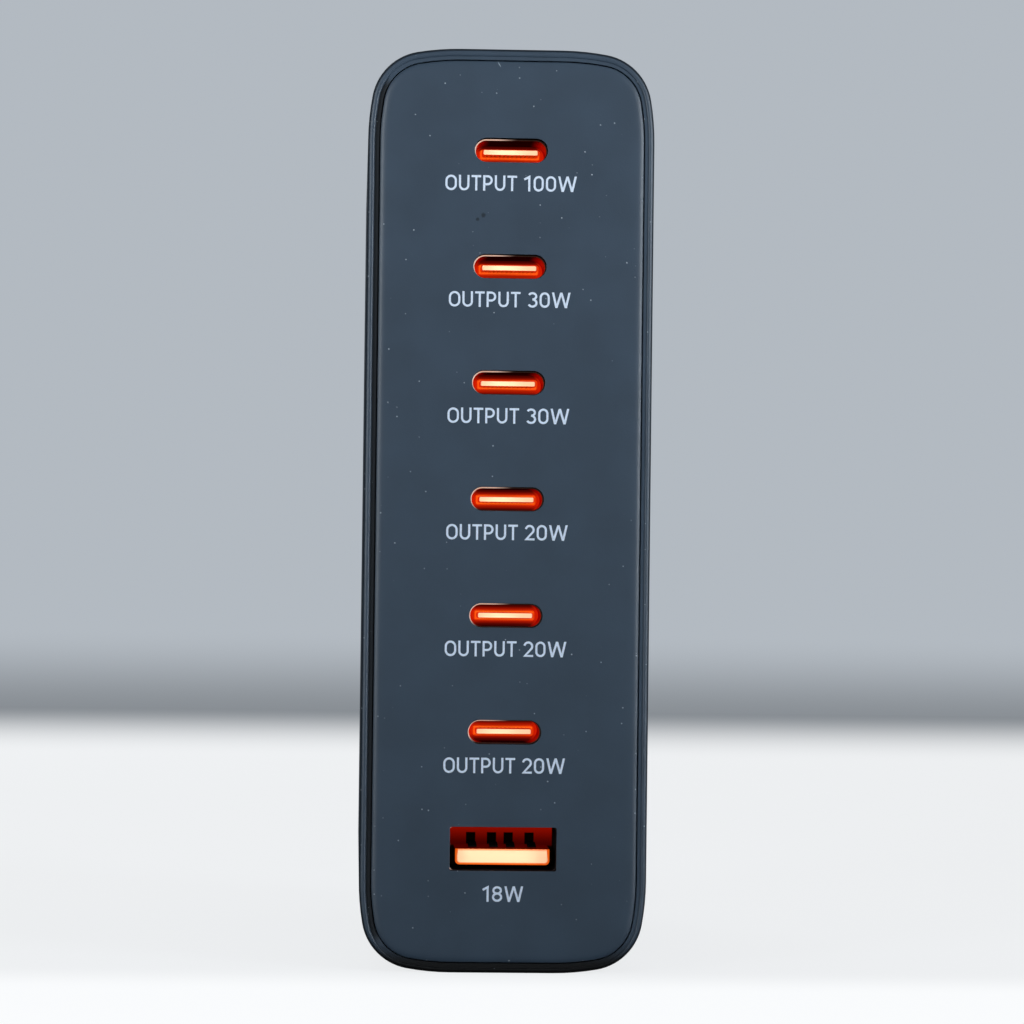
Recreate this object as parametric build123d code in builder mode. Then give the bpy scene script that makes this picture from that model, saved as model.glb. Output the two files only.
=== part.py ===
"""Multi-port desktop charger: a tall moulded housing closed by an inset front panel, with a column of
seven sockets behind the panel and a mains inlet in the back.

Millimetres. +Z is up, the front looks along -Y, and the origin is the middle of the base.
"""
import os
from math import cos, radians, sin

from build123d import *

os.makedirs("parts", exist_ok=True)

# Housing
body_width = 33.7
body_height = 108.4
body_depth = 86.0
corner_radius = 6.45
corner_lead_radius = 30.0
corner_lead_angle = 10.0
wall = 2.0
back_wall = 2.4
back_edge_bevel = 1.6

# Rim of the housing with its inner step, and the panel that sits inside it
rim_width = 1.2
rim_crest = 1.0
rim_step_depth = 0.32
rim_outer_bevel = 0.32
rim_outer_ease = 0.2
rim_inner_bevel = 0.25
panel_setback = 0.05
panel_gap = 0.22
panel_thickness = 1.5
panel_edge_bevel = 0.3
panel_edge_ease = 0.3
rib_depth = 3.0
rib_thickness = 1.2
rib_clearance = 0.1
rib_end_gap = 1.0

# Column of sockets
usb_c_count = 6
port_margin_top = 11.9
port_margin_bottom = 14.5
shell_wall = 0.3
socket_length = 12.0
insulator_clearance = 0.03

# Small reversible socket
usb_c_mouth_width = 8.34
usb_c_mouth_height = 2.56
usb_c_hole_margin = 0.14
usb_c_floor_depth = 6.2
usb_c_tip_depth = 1.1
usb_c_tongue_width = 6.69
usb_c_tongue_thickness = 0.7
usb_c_tip_chamfer = 0.15
usb_c_root_step = 0.3
usb_c_root_length = 2.2
usb_c_block_sides = 8
usb_c_contact_count = 4
usb_c_contact_pitch = 1.5
usb_c_contact_width = 0.7
usb_c_contact_thickness = 0.05
usb_c_contact_length = 2.2

# Large flat socket
usb_a_mouth_width = 12.5
usb_a_mouth_height = 5.12
usb_a_corner_radius = 0.5
usb_a_floor_depth = 8.9
usb_a_tip_depth = 0.6
usb_a_tongue_width = 11.1
usb_a_tongue_thickness = 1.84
usb_a_tongue_floor_gap = 0.72
usb_a_tongue_radius = 0.5
usb_a_tongue_chamfer = 0.35
usb_a_outer_contact_spacing = 7.0
usb_a_inner_contact_spacing = 2.0
usb_a_contact_width = 1.0
usb_a_contact_thickness = 0.2
usb_a_contact_rise = 0.25
usb_a_slot_width = 1.15
usb_a_slot_height = 1.95
usb_a_slot_depth = 2.4

# Circuit boards and the rails that hold the main one
board_thickness = 1.6
board_clearance = 0.3
port_board_corner = 5.6
solder_gap = 2.55
rail_floor = 1.4
rail_clearance = 0.1
rail_grip = 2.0
rail_rib = 1.0
rail_setback = 0.5

# Voltage converters behind the sockets
inductor_size = 7.0
inductor_height = 4.0
inductor_bevel = 0.5
inductor_edge_gap = 0.4
chip_width = 4.3
chip_length = 7.3
chip_height = 2.8
chip_bevel = 0.4
chip_board_gap = 0.5

# Mains inlet and its two copper straps
inlet_height = 24.0
inlet_setback = 0.2
inlet_neck_width = 18.4
inlet_neck_height = 10.6
inlet_neck_radius = 3.0
inlet_neck_clearance = 0.15
inlet_body_width = 20.8
inlet_body_height = 12.6
inlet_board_gap = 0.3
inlet_cavity_depth = 12.2
inlet_rear_wall = 2.0
inlet_lobe_radius = 4.1
inlet_lobe_spacing = 6.9
inlet_waist_height = 6.6
pin_spacing = 8.6
pin_diameter = 2.4
pin_tip_depth = 1.6
pin_tail_length = 1.0
pin_tail_width = 2.0
pin_tail_thickness = 0.8
pin_clearance = 0.03
strap_thickness = 0.8
strap_width = 2.0
strap_bend_radius = 1.2
strap_run = 2.5
strap_gap = 2.0

# Heat spreader, its insulating sheet and the pads on the wound parts
spreader_thickness = 0.8
spreader_bend_radius = 1.6
spreader_rail_gap = 0.8
spreader_end_gap = 0.5
sheet_thickness = 0.4
sheet_gap = 0.1
sheet_wall_gap = 0.55
pad_thickness = 2.0

# Storage capacitors
bulk_diameter = 14.5
bulk_length = 36.0
bulk_gap = 0.8
bulk_lift = 0.2

# Transformer and boost inductor: a framed core with a coil on its middle leg
transformer_length = 26.0
boost_inductor_length = 24.0
core_width = 10.0
core_plate = 4.0
core_side_leg = 4.0
core_middle_leg = 8.0
coil_width = 17.0
coil_bevel = 2.0
coil_clearance = 0.1

# Line filter and protection
choke_width = 13.6
choke_length = 17.0
choke_leg = 3.6
choke_core_height = 5.0
choke_coil_wall = 1.6
suppression_width = 17.0
suppression_length = 9.0
suppression_height = 14.5
suppression_bevel = 0.6
varistor_diameter = 11.0
varistor_thickness = 4.5
fuse_length = 8.5
fuse_width = 4.5
fuse_height = 8.0
fuse_bevel = 0.6
rectifier_length = 18.0
rectifier_thickness = 3.6
rectifier_height = 14.0
rectifier_bevel = 2.5
rectifier_leg_count = 4
rectifier_leg_pitch = 5.0
wire_leg_size = 0.8
wire_leg_pitch = 5.0
wire_leg_length = 2.0
back_row_gap = 1.5

# Depths from front to back
front_y = -body_depth / 2
back_y = body_depth / 2
face_y = front_y + panel_setback
seat_y = face_y + panel_thickness
mouth_y = seat_y
port_board_y = mouth_y + socket_length
main_board_y = port_board_y + board_thickness
converter_back_y = main_board_y + max(inductor_height, chip_height)
bulk_y = converter_back_y + bulk_gap + bulk_diameter / 2
back_inner_y = back_y - back_wall
inlet_front_y = back_y - inlet_setback
inlet_floor_y = inlet_front_y - inlet_cavity_depth
inlet_rear_y = inlet_floor_y - inlet_rear_wall
pin_tail_y = inlet_rear_y - pin_tail_length
neutral_turn_y = pin_tail_y - strap_run
live_turn_y = neutral_turn_y - strap_thickness - strap_gap
strap_front_y = live_turn_y - strap_thickness
row_y = (bulk_y + bulk_diameter / 2 + strap_front_y) / 2
spreader_back_y = strap_front_y - spreader_end_gap
spreader_front_y = converter_back_y + spreader_end_gap
main_board_back_y = back_inner_y - board_clearance
back_row_y = back_inner_y - back_row_gap - varistor_diameter / 2

# Reach of a corner along each side
quarter_turn = 90
lead = radians(corner_lead_angle)
corner_reach = corner_lead_radius - (corner_lead_radius - corner_radius) * (cos(lead) - sin(lead))

# Places across the width
inner_x = body_width / 2 - wall
board_top_x = -(inner_x - solder_gap - board_thickness)
board_middle_x = board_top_x - board_thickness / 2
inlet_x = board_top_x + inlet_board_gap + inlet_body_width / 2
sheet_outer_x = inner_x - sheet_wall_gap
sheet_wrap = sheet_thickness + sheet_gap
spreader_outer_x = sheet_outer_x - sheet_wrap
spreader_inner_x = spreader_outer_x - spreader_thickness
wound_height = spreader_inner_x - board_top_x - pad_thickness
inductor_x = inner_x - board_clearance - inductor_edge_gap - inductor_size / 2
chip_x = board_top_x + chip_board_gap + chip_width / 2

# Heights
middle_z = body_height / 2
usb_a_z = port_margin_bottom
port_pitch = (body_height - port_margin_bottom - port_margin_top) / usb_c_count
usb_c_heights = [usb_a_z + port_pitch * step for step in range(usb_c_count, 0, -1)]
port_heights = usb_c_heights + [usb_a_z]
board_bottom_z = wall + rail_floor + rail_clearance
board_height = body_height - 2 * board_bottom_z
spreader_z = board_bottom_z + rail_grip + spreader_rail_gap
bay_low_z = spreader_z + spreader_thickness
bay_high_z = body_height - bay_low_z
usb_a_tongue_z = usb_a_z - usb_a_mouth_height / 2 + usb_a_tongue_floor_gap + usb_a_tongue_thickness / 2
usb_a_tongue_top_z = usb_a_tongue_z + usb_a_tongue_thickness / 2


def upright(y):
    """Plane across the body at depth y; it looks to the front, with X to the right and Z up."""
    return Plane.XZ.offset(-y)


def on_board(x=board_top_x):
    """Plane along the main board at x; it looks to +X, with Y and Z as its own axes."""
    return Plane.YZ.offset(x)


def outline(inset, mode=Mode.ADD):
    """The body's outline, moved in by inset, for the sketch that is open; wide arcs ease its corners."""
    side_x = body_width / 2 - inset
    lead_radius = corner_lead_radius - inset
    with BuildLine() as border:
        side = Line((side_x, middle_z), (side_x, body_height - corner_reach))
        lead_in = JernArc(side @ 1, side % 1, lead_radius, corner_lead_angle)
        bend = JernArc(lead_in @ 1, lead_in % 1, corner_radius - inset, quarter_turn - 2 * corner_lead_angle)
        lead_out = JernArc(bend @ 1, bend % 1, lead_radius, corner_lead_angle)
        Line(lead_out @ 1, (0, body_height - inset))
        mirror(about=Plane.YZ)
        mirror(about=Plane.XZ.offset(-middle_z))
    make_face(border.edges(), mode=mode)


def spread(lengths, low, high):
    """Centres of pieces that stand in a row between low and high with equal gaps."""
    gap = (high - low - sum(lengths)) / (len(lengths) + 1)
    centres = []
    edge = low
    for length in lengths:
        centres.append(edge + gap + length / 2)
        edge += gap + length
    return centres


def save(piece, name):
    """Label a finished piece and write it."""
    piece.label = name
    export_step(piece, f"parts/{name}.step")


# Heights of the pieces that stand in rows on the main board
row_lengths = [suppression_length, choke_length, boost_inductor_length, transformer_length]
suppression_z, choke_z, boost_inductor_z, transformer_z = spread(row_lengths, bay_low_z, bay_high_z)
bulk_heights = spread([bulk_length, bulk_length], bay_low_z, bay_high_z)
back_row_lengths = [varistor_thickness, fuse_length, rectifier_length]
inlet_top_z = inlet_height + inlet_body_height / 2
varistor_z, fuse_z, rectifier_z = spread(back_row_lengths, inlet_top_z, bay_high_z)


# Moulded housing: a deep tub, open at the front, with a rounded rim, a seat and two board rails
with BuildPart() as main_housing:
    with BuildSketch(upright(back_y)):
        outline(0)
    extrude(amount=body_depth)
    chamfer(main_housing.faces().sort_by(Axis.Y)[0].edges(), rim_outer_bevel)
    chamfer(main_housing.faces().sort_by(Axis.Y)[0].edges(), rim_outer_ease)
    chamfer(main_housing.faces().sort_by(Axis.Y)[-1].edges(), back_edge_bevel)
    # Hollow, and the wider seat for the panel
    with BuildSketch(upright(back_inner_y)):
        outline(wall)
    extrude(amount=body_depth, mode=Mode.SUBTRACT)
    with BuildSketch(upright(seat_y)):
        outline(rim_width)
    extrude(amount=body_depth, mode=Mode.SUBTRACT)
    with BuildSketch(upright(front_y + rim_step_depth)):
        outline(rim_crest)
    extrude(amount=body_depth, mode=Mode.SUBTRACT)
    rim_face = main_housing.faces().sort_by(Axis.Y)[0]
    chamfer(rim_face.inner_wires()[0].edges(), rim_inner_bevel)
    # Rails above and below, each with a groove for an edge of the main board
    with BuildSketch(upright(back_inner_y)):
        with Locations((board_middle_x, middle_z)):
            Rectangle(board_thickness + 2 * (rail_clearance + rail_rib), body_height)
            Rectangle(body_width, board_height - 2 * rail_grip, mode=Mode.SUBTRACT)
        outline(wall / 2, mode=Mode.INTERSECT)
        with Locations((board_middle_x, middle_z)):
            Rectangle(
                board_thickness + 2 * rail_clearance,
                board_height + 2 * rail_clearance,
                mode=Mode.SUBTRACT,
            )
    extrude(amount=back_inner_y - main_board_y - rail_setback)
    # Window for the neck of the mains inlet
    with BuildSketch(upright(back_y)):
        with Locations((inlet_x, inlet_height)):
            RectangleRounded(
                inlet_neck_width + 2 * inlet_neck_clearance,
                inlet_neck_height + 2 * inlet_neck_clearance,
                inlet_neck_radius + inlet_neck_clearance,
            )
    extrude(amount=back_wall, mode=Mode.SUBTRACT)
save(main_housing.part, "main_housing")


# Front panel: a plate on the seat with rolled edges, and four ribs inside the housing
rib_reach = wall + rib_clearance + rib_thickness / 2
rib_shortening = 2 * (corner_reach + rib_end_gap)

with BuildPart() as front_panel:
    with BuildSketch(upright(seat_y)):
        outline(rim_width + panel_gap)
    extrude(amount=panel_thickness)
    chamfer(front_panel.faces().sort_by(Axis.Y)[0].edges(), panel_edge_bevel)
    chamfer(front_panel.faces().sort_by(Axis.Y)[0].edges(), panel_edge_ease)
    with BuildSketch(upright(seat_y)):
        with Locations((0, middle_z)):
            with GridLocations(body_width - 2 * rib_reach, 0, 2, 1):
                Rectangle(rib_thickness, body_height - rib_shortening)
            with GridLocations(0, body_height - 2 * rib_reach, 1, 2):
                Rectangle(body_width - rib_shortening, rib_thickness)
    extrude(amount=-rib_depth)
    # Openings in front of the socket mouths
    with BuildSketch(upright(face_y)):
        with Locations(*[(0, z) for z in usb_c_heights]):
            SlotOverall(
                usb_c_mouth_width + 2 * usb_c_hole_margin,
                usb_c_mouth_height + 2 * usb_c_hole_margin,
            )
        with Locations((0, usb_a_z)):
            RectangleRounded(usb_a_mouth_width, usb_a_mouth_height, usb_a_corner_radius)
    extrude(amount=-(seat_y - face_y), mode=Mode.SUBTRACT)
save(front_panel.part, "front_panel")


# Small sockets: a drawn shell, an insulator with a thin tongue, and contacts on both sides of the tongue
usb_c_floor_y = mouth_y + usb_c_floor_depth
usb_c_root_y = usb_c_floor_y - usb_c_root_length
usb_c_tip_y = mouth_y + usb_c_tip_depth
usb_c_end_spacing = usb_c_mouth_width - usb_c_mouth_height
usb_c_block_radius = usb_c_mouth_height / 2 - insulator_clearance
usb_c_block_turn = 2 * quarter_turn / usb_c_block_sides

for number, socket_z in enumerate(usb_c_heights, start=1):
    with BuildPart() as usb_c_shell:
        with BuildSketch(upright(mouth_y)):
            with Locations((0, socket_z)):
                SlotOverall(usb_c_mouth_width + 2 * shell_wall, usb_c_mouth_height + 2 * shell_wall)
                SlotOverall(usb_c_mouth_width, usb_c_mouth_height, mode=Mode.SUBTRACT)
        extrude(amount=-socket_length)
    save(usb_c_shell.part, f"usb_c_shell_{number}")

    with BuildPart() as usb_c_insulator:
        with BuildSketch(upright(usb_c_floor_y)):
            with Locations((0, socket_z)):
                with GridLocations(usb_c_end_spacing, 0, 2, 1):
                    RegularPolygon(usb_c_block_radius, usb_c_block_sides, rotation=usb_c_block_turn)
            make_hull()
        extrude(amount=-(port_board_y - usb_c_floor_y))
        with BuildSketch(upright(usb_c_floor_y)):
            with Locations((0, socket_z)):
                Rectangle(
                    usb_c_tongue_width + 2 * usb_c_root_step,
                    usb_c_tongue_thickness + 2 * usb_c_root_step,
                )
        extrude(amount=usb_c_root_length)
        with BuildSketch(upright(usb_c_root_y)):
            with Locations((0, socket_z)):
                Rectangle(usb_c_tongue_width, usb_c_tongue_thickness)
        extrude(amount=usb_c_root_y - usb_c_tip_y)
        chamfer(usb_c_insulator.faces().sort_by(Axis.Y)[0].edges(), usb_c_tip_chamfer)
    save(usb_c_insulator.part, f"usb_c_insulator_{number}")

    with BuildPart() as usb_c_contacts:
        with BuildSketch(upright(usb_c_root_y)):
            with Locations((0, socket_z)):
                with GridLocations(
                    usb_c_contact_pitch,
                    usb_c_tongue_thickness + usb_c_contact_thickness,
                    usb_c_contact_count,
                    2,
                ):
                    Rectangle(usb_c_contact_width, usb_c_contact_thickness)
        extrude(amount=usb_c_contact_length)
    save(usb_c_contacts.part, f"usb_c_contacts_{number}")


# Large socket: shell, insulator with a thick tongue and four slots over it, and four sprung contacts
usb_a_floor_y = mouth_y + usb_a_floor_depth
usb_a_tip_y = mouth_y + usb_a_tip_depth
usb_a_contact_places = [
    side * spacing / 2
    for spacing in (usb_a_outer_contact_spacing, usb_a_inner_contact_spacing)
    for side in (-1, 1)
]

with BuildPart() as usb_a_shell:
    with BuildSketch(upright(mouth_y)):
        with Locations((0, usb_a_z)):
            RectangleRounded(
                usb_a_mouth_width + 2 * shell_wall,
                usb_a_mouth_height + 2 * shell_wall,
                usb_a_corner_radius + shell_wall,
            )
            RectangleRounded(usb_a_mouth_width, usb_a_mouth_height, usb_a_corner_radius, mode=Mode.SUBTRACT)
    extrude(amount=-socket_length)
save(usb_a_shell.part, "usb_a_shell")

with BuildPart() as usb_a_insulator:
    with BuildSketch(upright(usb_a_floor_y)) as block:
        with Locations((0, usb_a_z)):
            Rectangle(
                usb_a_mouth_width - 2 * insulator_clearance,
                usb_a_mouth_height - 2 * insulator_clearance,
            )
        chamfer(block.vertices(), usb_a_corner_radius)
    extrude(amount=-(port_board_y - usb_a_floor_y))
    with BuildSketch(upright(usb_a_floor_y)) as tongue:
        with Locations((0, usb_a_tongue_z)):
            Rectangle(usb_a_tongue_width, usb_a_tongue_thickness)
        fillet(tongue.vertices().group_by(Axis.Y)[0], usb_a_tongue_radius)
    extrude(amount=usb_a_floor_y - usb_a_tip_y)
    # The nose of the tongue is bevelled at its sides and below, and square above
    nose_edges = usb_a_insulator.faces().sort_by(Axis.Y)[0].edges().sort_by(Axis.Z)
    chamfer(nose_edges[:-1], usb_a_tongue_chamfer)
    with BuildSketch(upright(usb_a_floor_y)):
        with Locations(*[(x, usb_a_tongue_top_z + usb_a_slot_height / 2) for x in usb_a_contact_places]):
            Rectangle(usb_a_slot_width, usb_a_slot_height)
    extrude(amount=-usb_a_slot_depth, mode=Mode.SUBTRACT)
save(usb_a_insulator.part, "usb_a_insulator")

with BuildPart() as usb_a_contacts:
    for contact_x in usb_a_contact_places:
        with BuildSketch(Plane.YZ.offset(contact_x)):
            with BuildLine():
                Polyline(
                    (usb_a_floor_y + usb_a_slot_depth, usb_a_tongue_top_z),
                    (usb_a_floor_y, usb_a_tongue_top_z),
                    ((usb_a_floor_y + usb_a_tip_y) / 2, usb_a_tongue_top_z + usb_a_contact_rise),
                    (usb_a_tip_y + usb_a_contact_width, usb_a_tongue_top_z),
                )
                offset(amount=usb_a_contact_thickness, side=Side.RIGHT)
            make_face()
        extrude(amount=usb_a_contact_width / 2, both=True)
save(usb_a_contacts.part, "usb_a_contacts")


# Port board, upright behind the sockets
port_board_inset = wall + board_clearance

with BuildPart() as port_board:
    with BuildSketch(upright(main_board_y)) as board_outline:
        with Locations((0, middle_z)):
            Rectangle(body_width - 2 * port_board_inset, body_height - 2 * port_board_inset)
        chamfer(board_outline.vertices(), port_board_corner)
    extrude(amount=board_thickness)
save(port_board.part, "port_board")


# Main board, along the left side, with its edges in the rails
with BuildPart() as main_board:
    with BuildSketch(on_board()):
        with Locations(((main_board_y + main_board_back_y) / 2, middle_z)):
            Rectangle(main_board_back_y - main_board_y, board_height)
    extrude(amount=-board_thickness)
save(main_board.part, "main_board")


# One converter for each socket: a moulded inductor and a chip capacitor on the back of the port board
for number, socket_z in enumerate(port_heights, start=1):
    with BuildPart() as converter_inductor:
        with BuildSketch(upright(main_board_y)):
            with Locations((inductor_x, socket_z)):
                Rectangle(inductor_size, inductor_size)
        extrude(amount=-inductor_height)
        chamfer(converter_inductor.faces().sort_by(Axis.Y)[-1].edges(), inductor_bevel)
    save(converter_inductor.part, f"converter_inductor_{number}")

    with BuildPart() as converter_capacitor:
        with BuildSketch(upright(main_board_y)):
            with Locations((chip_x, socket_z)):
                Rectangle(chip_width, chip_length)
        extrude(amount=-chip_height)
        chamfer(converter_capacitor.faces().sort_by(Axis.Y)[-1].edges(), chip_bevel)
    save(converter_capacitor.part, f"converter_capacitor_{number}")


# Storage capacitors, lying one above the other on the main board
for number, bulk_z in enumerate(bulk_heights, start=1):
    with BuildPart() as bulk_capacitor:
        with BuildSketch(Plane.XY.offset(bulk_z)):
            with Locations((board_top_x + bulk_lift + bulk_diameter / 2, bulk_y)):
                Circle(bulk_diameter / 2)
        extrude(amount=bulk_length / 2, both=True)
    save(bulk_capacitor.part, f"bulk_capacitor_{number}")


# Wound parts: a framed core with two windows, a coil on its middle leg and a pad up to the spreader
window_height = wound_height - 2 * core_plate

for name, part_z, part_length in (
    ("transformer", transformer_z, transformer_length),
    ("boost_inductor", boost_inductor_z, boost_inductor_length),
):
    window_length = (part_length - core_middle_leg) / 2 - core_side_leg
    window_offset = (core_middle_leg + window_length) / 2
    with BuildPart() as wound_core:
        with BuildSketch(upright(row_y)):
            with Locations((board_top_x + wound_height / 2, part_z)):
                Rectangle(wound_height, part_length)
                with GridLocations(0, 2 * window_offset, 1, 2):
                    Rectangle(window_height, window_length, mode=Mode.SUBTRACT)
        extrude(amount=core_width / 2, both=True)
    save(wound_core.part, f"{name}_core")

    with BuildPart() as wound_coil:
        with BuildSketch(on_board(board_top_x + core_plate + coil_clearance)) as coil:
            with Locations((row_y, part_z)):
                Rectangle(coil_width, part_length - 2 * (core_side_leg + coil_clearance))
            chamfer(coil.vertices(), coil_bevel)
            with Locations((row_y, part_z)):
                Rectangle(
                    core_width + 2 * coil_clearance,
                    core_middle_leg + 2 * coil_clearance,
                    mode=Mode.SUBTRACT,
                )
        extrude(amount=window_height - 2 * coil_clearance)
    save(wound_coil.part, f"{name}_coil")

    with BuildPart() as wound_pad:
        with BuildSketch(on_board(board_top_x + wound_height)):
            with Locations((row_y, part_z)):
                Rectangle(core_width, part_length)
        extrude(amount=pad_thickness)
    save(wound_pad.part, f"{name}_pad")


# Line filter: a frame core with a coil on each long leg, and a boxed capacitor
choke_leg_spacing = choke_width - choke_leg
choke_core_x = board_top_x + choke_coil_wall + coil_clearance
choke_coil_length = choke_length - 2 * (choke_leg + coil_clearance)

with BuildPart() as choke_core:
    with BuildSketch(on_board(choke_core_x)):
        with Locations((row_y, choke_z)):
            Rectangle(choke_width, choke_length)
            Rectangle(choke_width - 2 * choke_leg, choke_length - 2 * choke_leg, mode=Mode.SUBTRACT)
    extrude(amount=choke_core_height)
save(choke_core.part, "choke_core")

with BuildPart() as choke_coils:
    with BuildSketch(Plane.XY.offset(choke_z)):
        with Locations((choke_core_x + choke_core_height / 2, row_y)):
            with GridLocations(0, choke_leg_spacing, 1, 2):
                Rectangle(
                    choke_core_height + 2 * (coil_clearance + choke_coil_wall),
                    choke_leg + 2 * (coil_clearance + choke_coil_wall),
                )
                Rectangle(
                    choke_core_height + 2 * coil_clearance,
                    choke_leg + 2 * coil_clearance,
                    mode=Mode.SUBTRACT,
                )
    extrude(amount=choke_coil_length / 2, both=True)
save(choke_coils.part, "choke_coils")

with BuildPart() as suppression_capacitor:
    with BuildSketch(on_board()):
        with Locations((row_y, suppression_z)):
            Rectangle(suppression_width, suppression_length)
    extrude(amount=suppression_height)
    chamfer(suppression_capacitor.faces().sort_by(Axis.X)[-1].edges(), suppression_bevel)
save(suppression_capacitor.part, "suppression_capacitor")


# Protection parts and rectifier, in a row above the inlet, each on its wire legs
varistor_x = board_top_x + wire_leg_length + varistor_diameter / 2
leg_top_x = board_top_x + wire_leg_length

with BuildPart() as varistor:
    with BuildSketch(Plane.XY.offset(varistor_z)):
        with Locations((varistor_x, back_row_y)):
            Circle(varistor_diameter / 2)
    extrude(amount=varistor_thickness / 2, both=True)
    with BuildSketch(on_board()):
        with Locations((back_row_y, varistor_z)):
            with GridLocations(wire_leg_pitch, 0, 2, 1):
                Rectangle(wire_leg_size, wire_leg_size)
    extrude(amount=varistor_x - board_top_x)
save(varistor.part, "varistor")

with BuildPart() as fuse:
    with BuildSketch(on_board(leg_top_x)):
        with Locations((back_row_y, fuse_z)):
            Rectangle(fuse_width, fuse_length)
    extrude(amount=fuse_height)
    chamfer(fuse.faces().sort_by(Axis.X)[-1].edges(), fuse_bevel)
    with BuildSketch(on_board()):
        with Locations((back_row_y, fuse_z)):
            with GridLocations(0, wire_leg_pitch, 1, 2):
                Rectangle(wire_leg_size, wire_leg_size)
    extrude(amount=wire_leg_length)
save(fuse.part, "fuse")

with BuildPart() as bridge_rectifier:
    with BuildSketch(upright(back_row_y)) as rectifier_face:
        with Locations((leg_top_x + rectifier_height / 2, rectifier_z)):
            Rectangle(rectifier_height, rectifier_length)
        chamfer(rectifier_face.vertices().group_by(Axis.X)[-1].sort_by(Axis.Y)[-1], rectifier_bevel)
    extrude(amount=rectifier_thickness / 2, both=True)
    with BuildSketch(on_board()):
        with Locations((back_row_y, rectifier_z)):
            with GridLocations(0, rectifier_leg_pitch, 1, rectifier_leg_count):
                Rectangle(wire_leg_size, wire_leg_size)
    extrude(amount=wire_leg_length)
save(bridge_rectifier.part, "bridge_rectifier")


# Mains inlet: a block behind the back wall, a neck through it, a two-lobed cavity and two pins
with BuildPart() as mains_inlet_body:
    with BuildSketch(upright(back_inner_y)):
        with Locations((inlet_x, inlet_height)):
            Rectangle(inlet_body_width, inlet_body_height)
    extrude(amount=back_inner_y - inlet_rear_y)
    with BuildSketch(upright(back_inner_y)):
        with Locations((inlet_x, inlet_height)):
            RectangleRounded(inlet_neck_width, inlet_neck_height, inlet_neck_radius)
    extrude(amount=-(inlet_front_y - back_inner_y))
    with BuildSketch(upright(inlet_front_y)):
        with Locations((inlet_x, inlet_height)):
            Rectangle(inlet_lobe_spacing, inlet_waist_height)
            with GridLocations(inlet_lobe_spacing, 0, 2, 1):
                Circle(inlet_lobe_radius)
    extrude(amount=inlet_cavity_depth, mode=Mode.SUBTRACT)
    with BuildSketch(upright(inlet_rear_y)):
        with Locations((inlet_x, inlet_height)):
            with GridLocations(pin_spacing, 0, 2, 1):
                Rectangle(pin_tail_thickness + 2 * pin_clearance, pin_tail_width + 2 * pin_clearance)
    extrude(amount=-inlet_rear_wall, mode=Mode.SUBTRACT)
save(mains_inlet_body.part, "mains_inlet_body")

with BuildPart() as mains_inlet_pins:
    with BuildSketch(upright(inlet_floor_y)):
        with Locations((inlet_x, inlet_height)):
            with GridLocations(pin_spacing, 0, 2, 1):
                Circle(pin_diameter / 2)
    extrude(amount=-(inlet_cavity_depth - pin_tip_depth))
    with BuildSketch(upright(inlet_floor_y)):
        with Locations((inlet_x, inlet_height)):
            with GridLocations(pin_spacing, 0, 2, 1):
                Rectangle(pin_tail_thickness, pin_tail_width)
    extrude(amount=inlet_floor_y - pin_tail_y)
save(mains_inlet_pins.part, "mains_inlet_pins")


# Straps from the pins to the main board, one turning in front of the other
for name, pin_side, turn_y in (("neutral_strap", -1, neutral_turn_y), ("live_strap", 1, live_turn_y)):
    strap_x = inlet_x + (pin_side * pin_spacing - strap_thickness) / 2
    with BuildPart() as strap:
        with BuildSketch(Plane.XY.offset(inlet_height)):
            with BuildLine():
                FilletPolyline(
                    (strap_x, pin_tail_y),
                    (strap_x, turn_y),
                    (board_top_x, turn_y),
                    radius=strap_bend_radius,
                )
                offset(amount=strap_thickness, side=Side.LEFT)
            make_face()
        extrude(amount=strap_width / 2, both=True)
    save(strap.part, name)


# Folded sheets over the components: the heat spreader, and the insulating sheet outside it
sheet_z = spreader_z - sheet_wrap
sheet_bend_radius = spreader_bend_radius + sheet_wrap

for name, outer_x, low_z, thickness, bend_radius in (
    ("heat_spreader", spreader_outer_x, spreader_z, spreader_thickness, spreader_bend_radius),
    ("insulation_sheet", sheet_outer_x, sheet_z, sheet_thickness, sheet_bend_radius),
):
    channel_height = body_height - 2 * low_z
    channel_reach = outer_x - board_top_x
    with BuildPart() as channel:
        with BuildSketch(upright(spreader_back_y)):
            with Locations((board_top_x, middle_z)):
                RectangleRounded(2 * channel_reach, channel_height, bend_radius)
                RectangleRounded(
                    2 * (channel_reach - thickness),
                    channel_height - 2 * thickness,
                    bend_radius - thickness,
                    mode=Mode.SUBTRACT,
                )
            with Locations((board_top_x - channel_reach, middle_z)):
                Rectangle(2 * channel_reach, channel_height, mode=Mode.SUBTRACT)
        extrude(amount=spreader_back_y - spreader_front_y)
    save(channel.part, name)
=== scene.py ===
"""Dresses a tall desktop charger: moulded skins, sockets, printed marks and finishes, in a small studio.

Metres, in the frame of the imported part: +Z is up and the sockets look along -Y.
"""

import math

import bmesh
import bpy
from bpy.props import FloatProperty, FloatVectorProperty, IntProperty, PointerProperty
from bpy.types import Operator, Panel, PropertyGroup
from mathutils import Matrix, Vector


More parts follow.
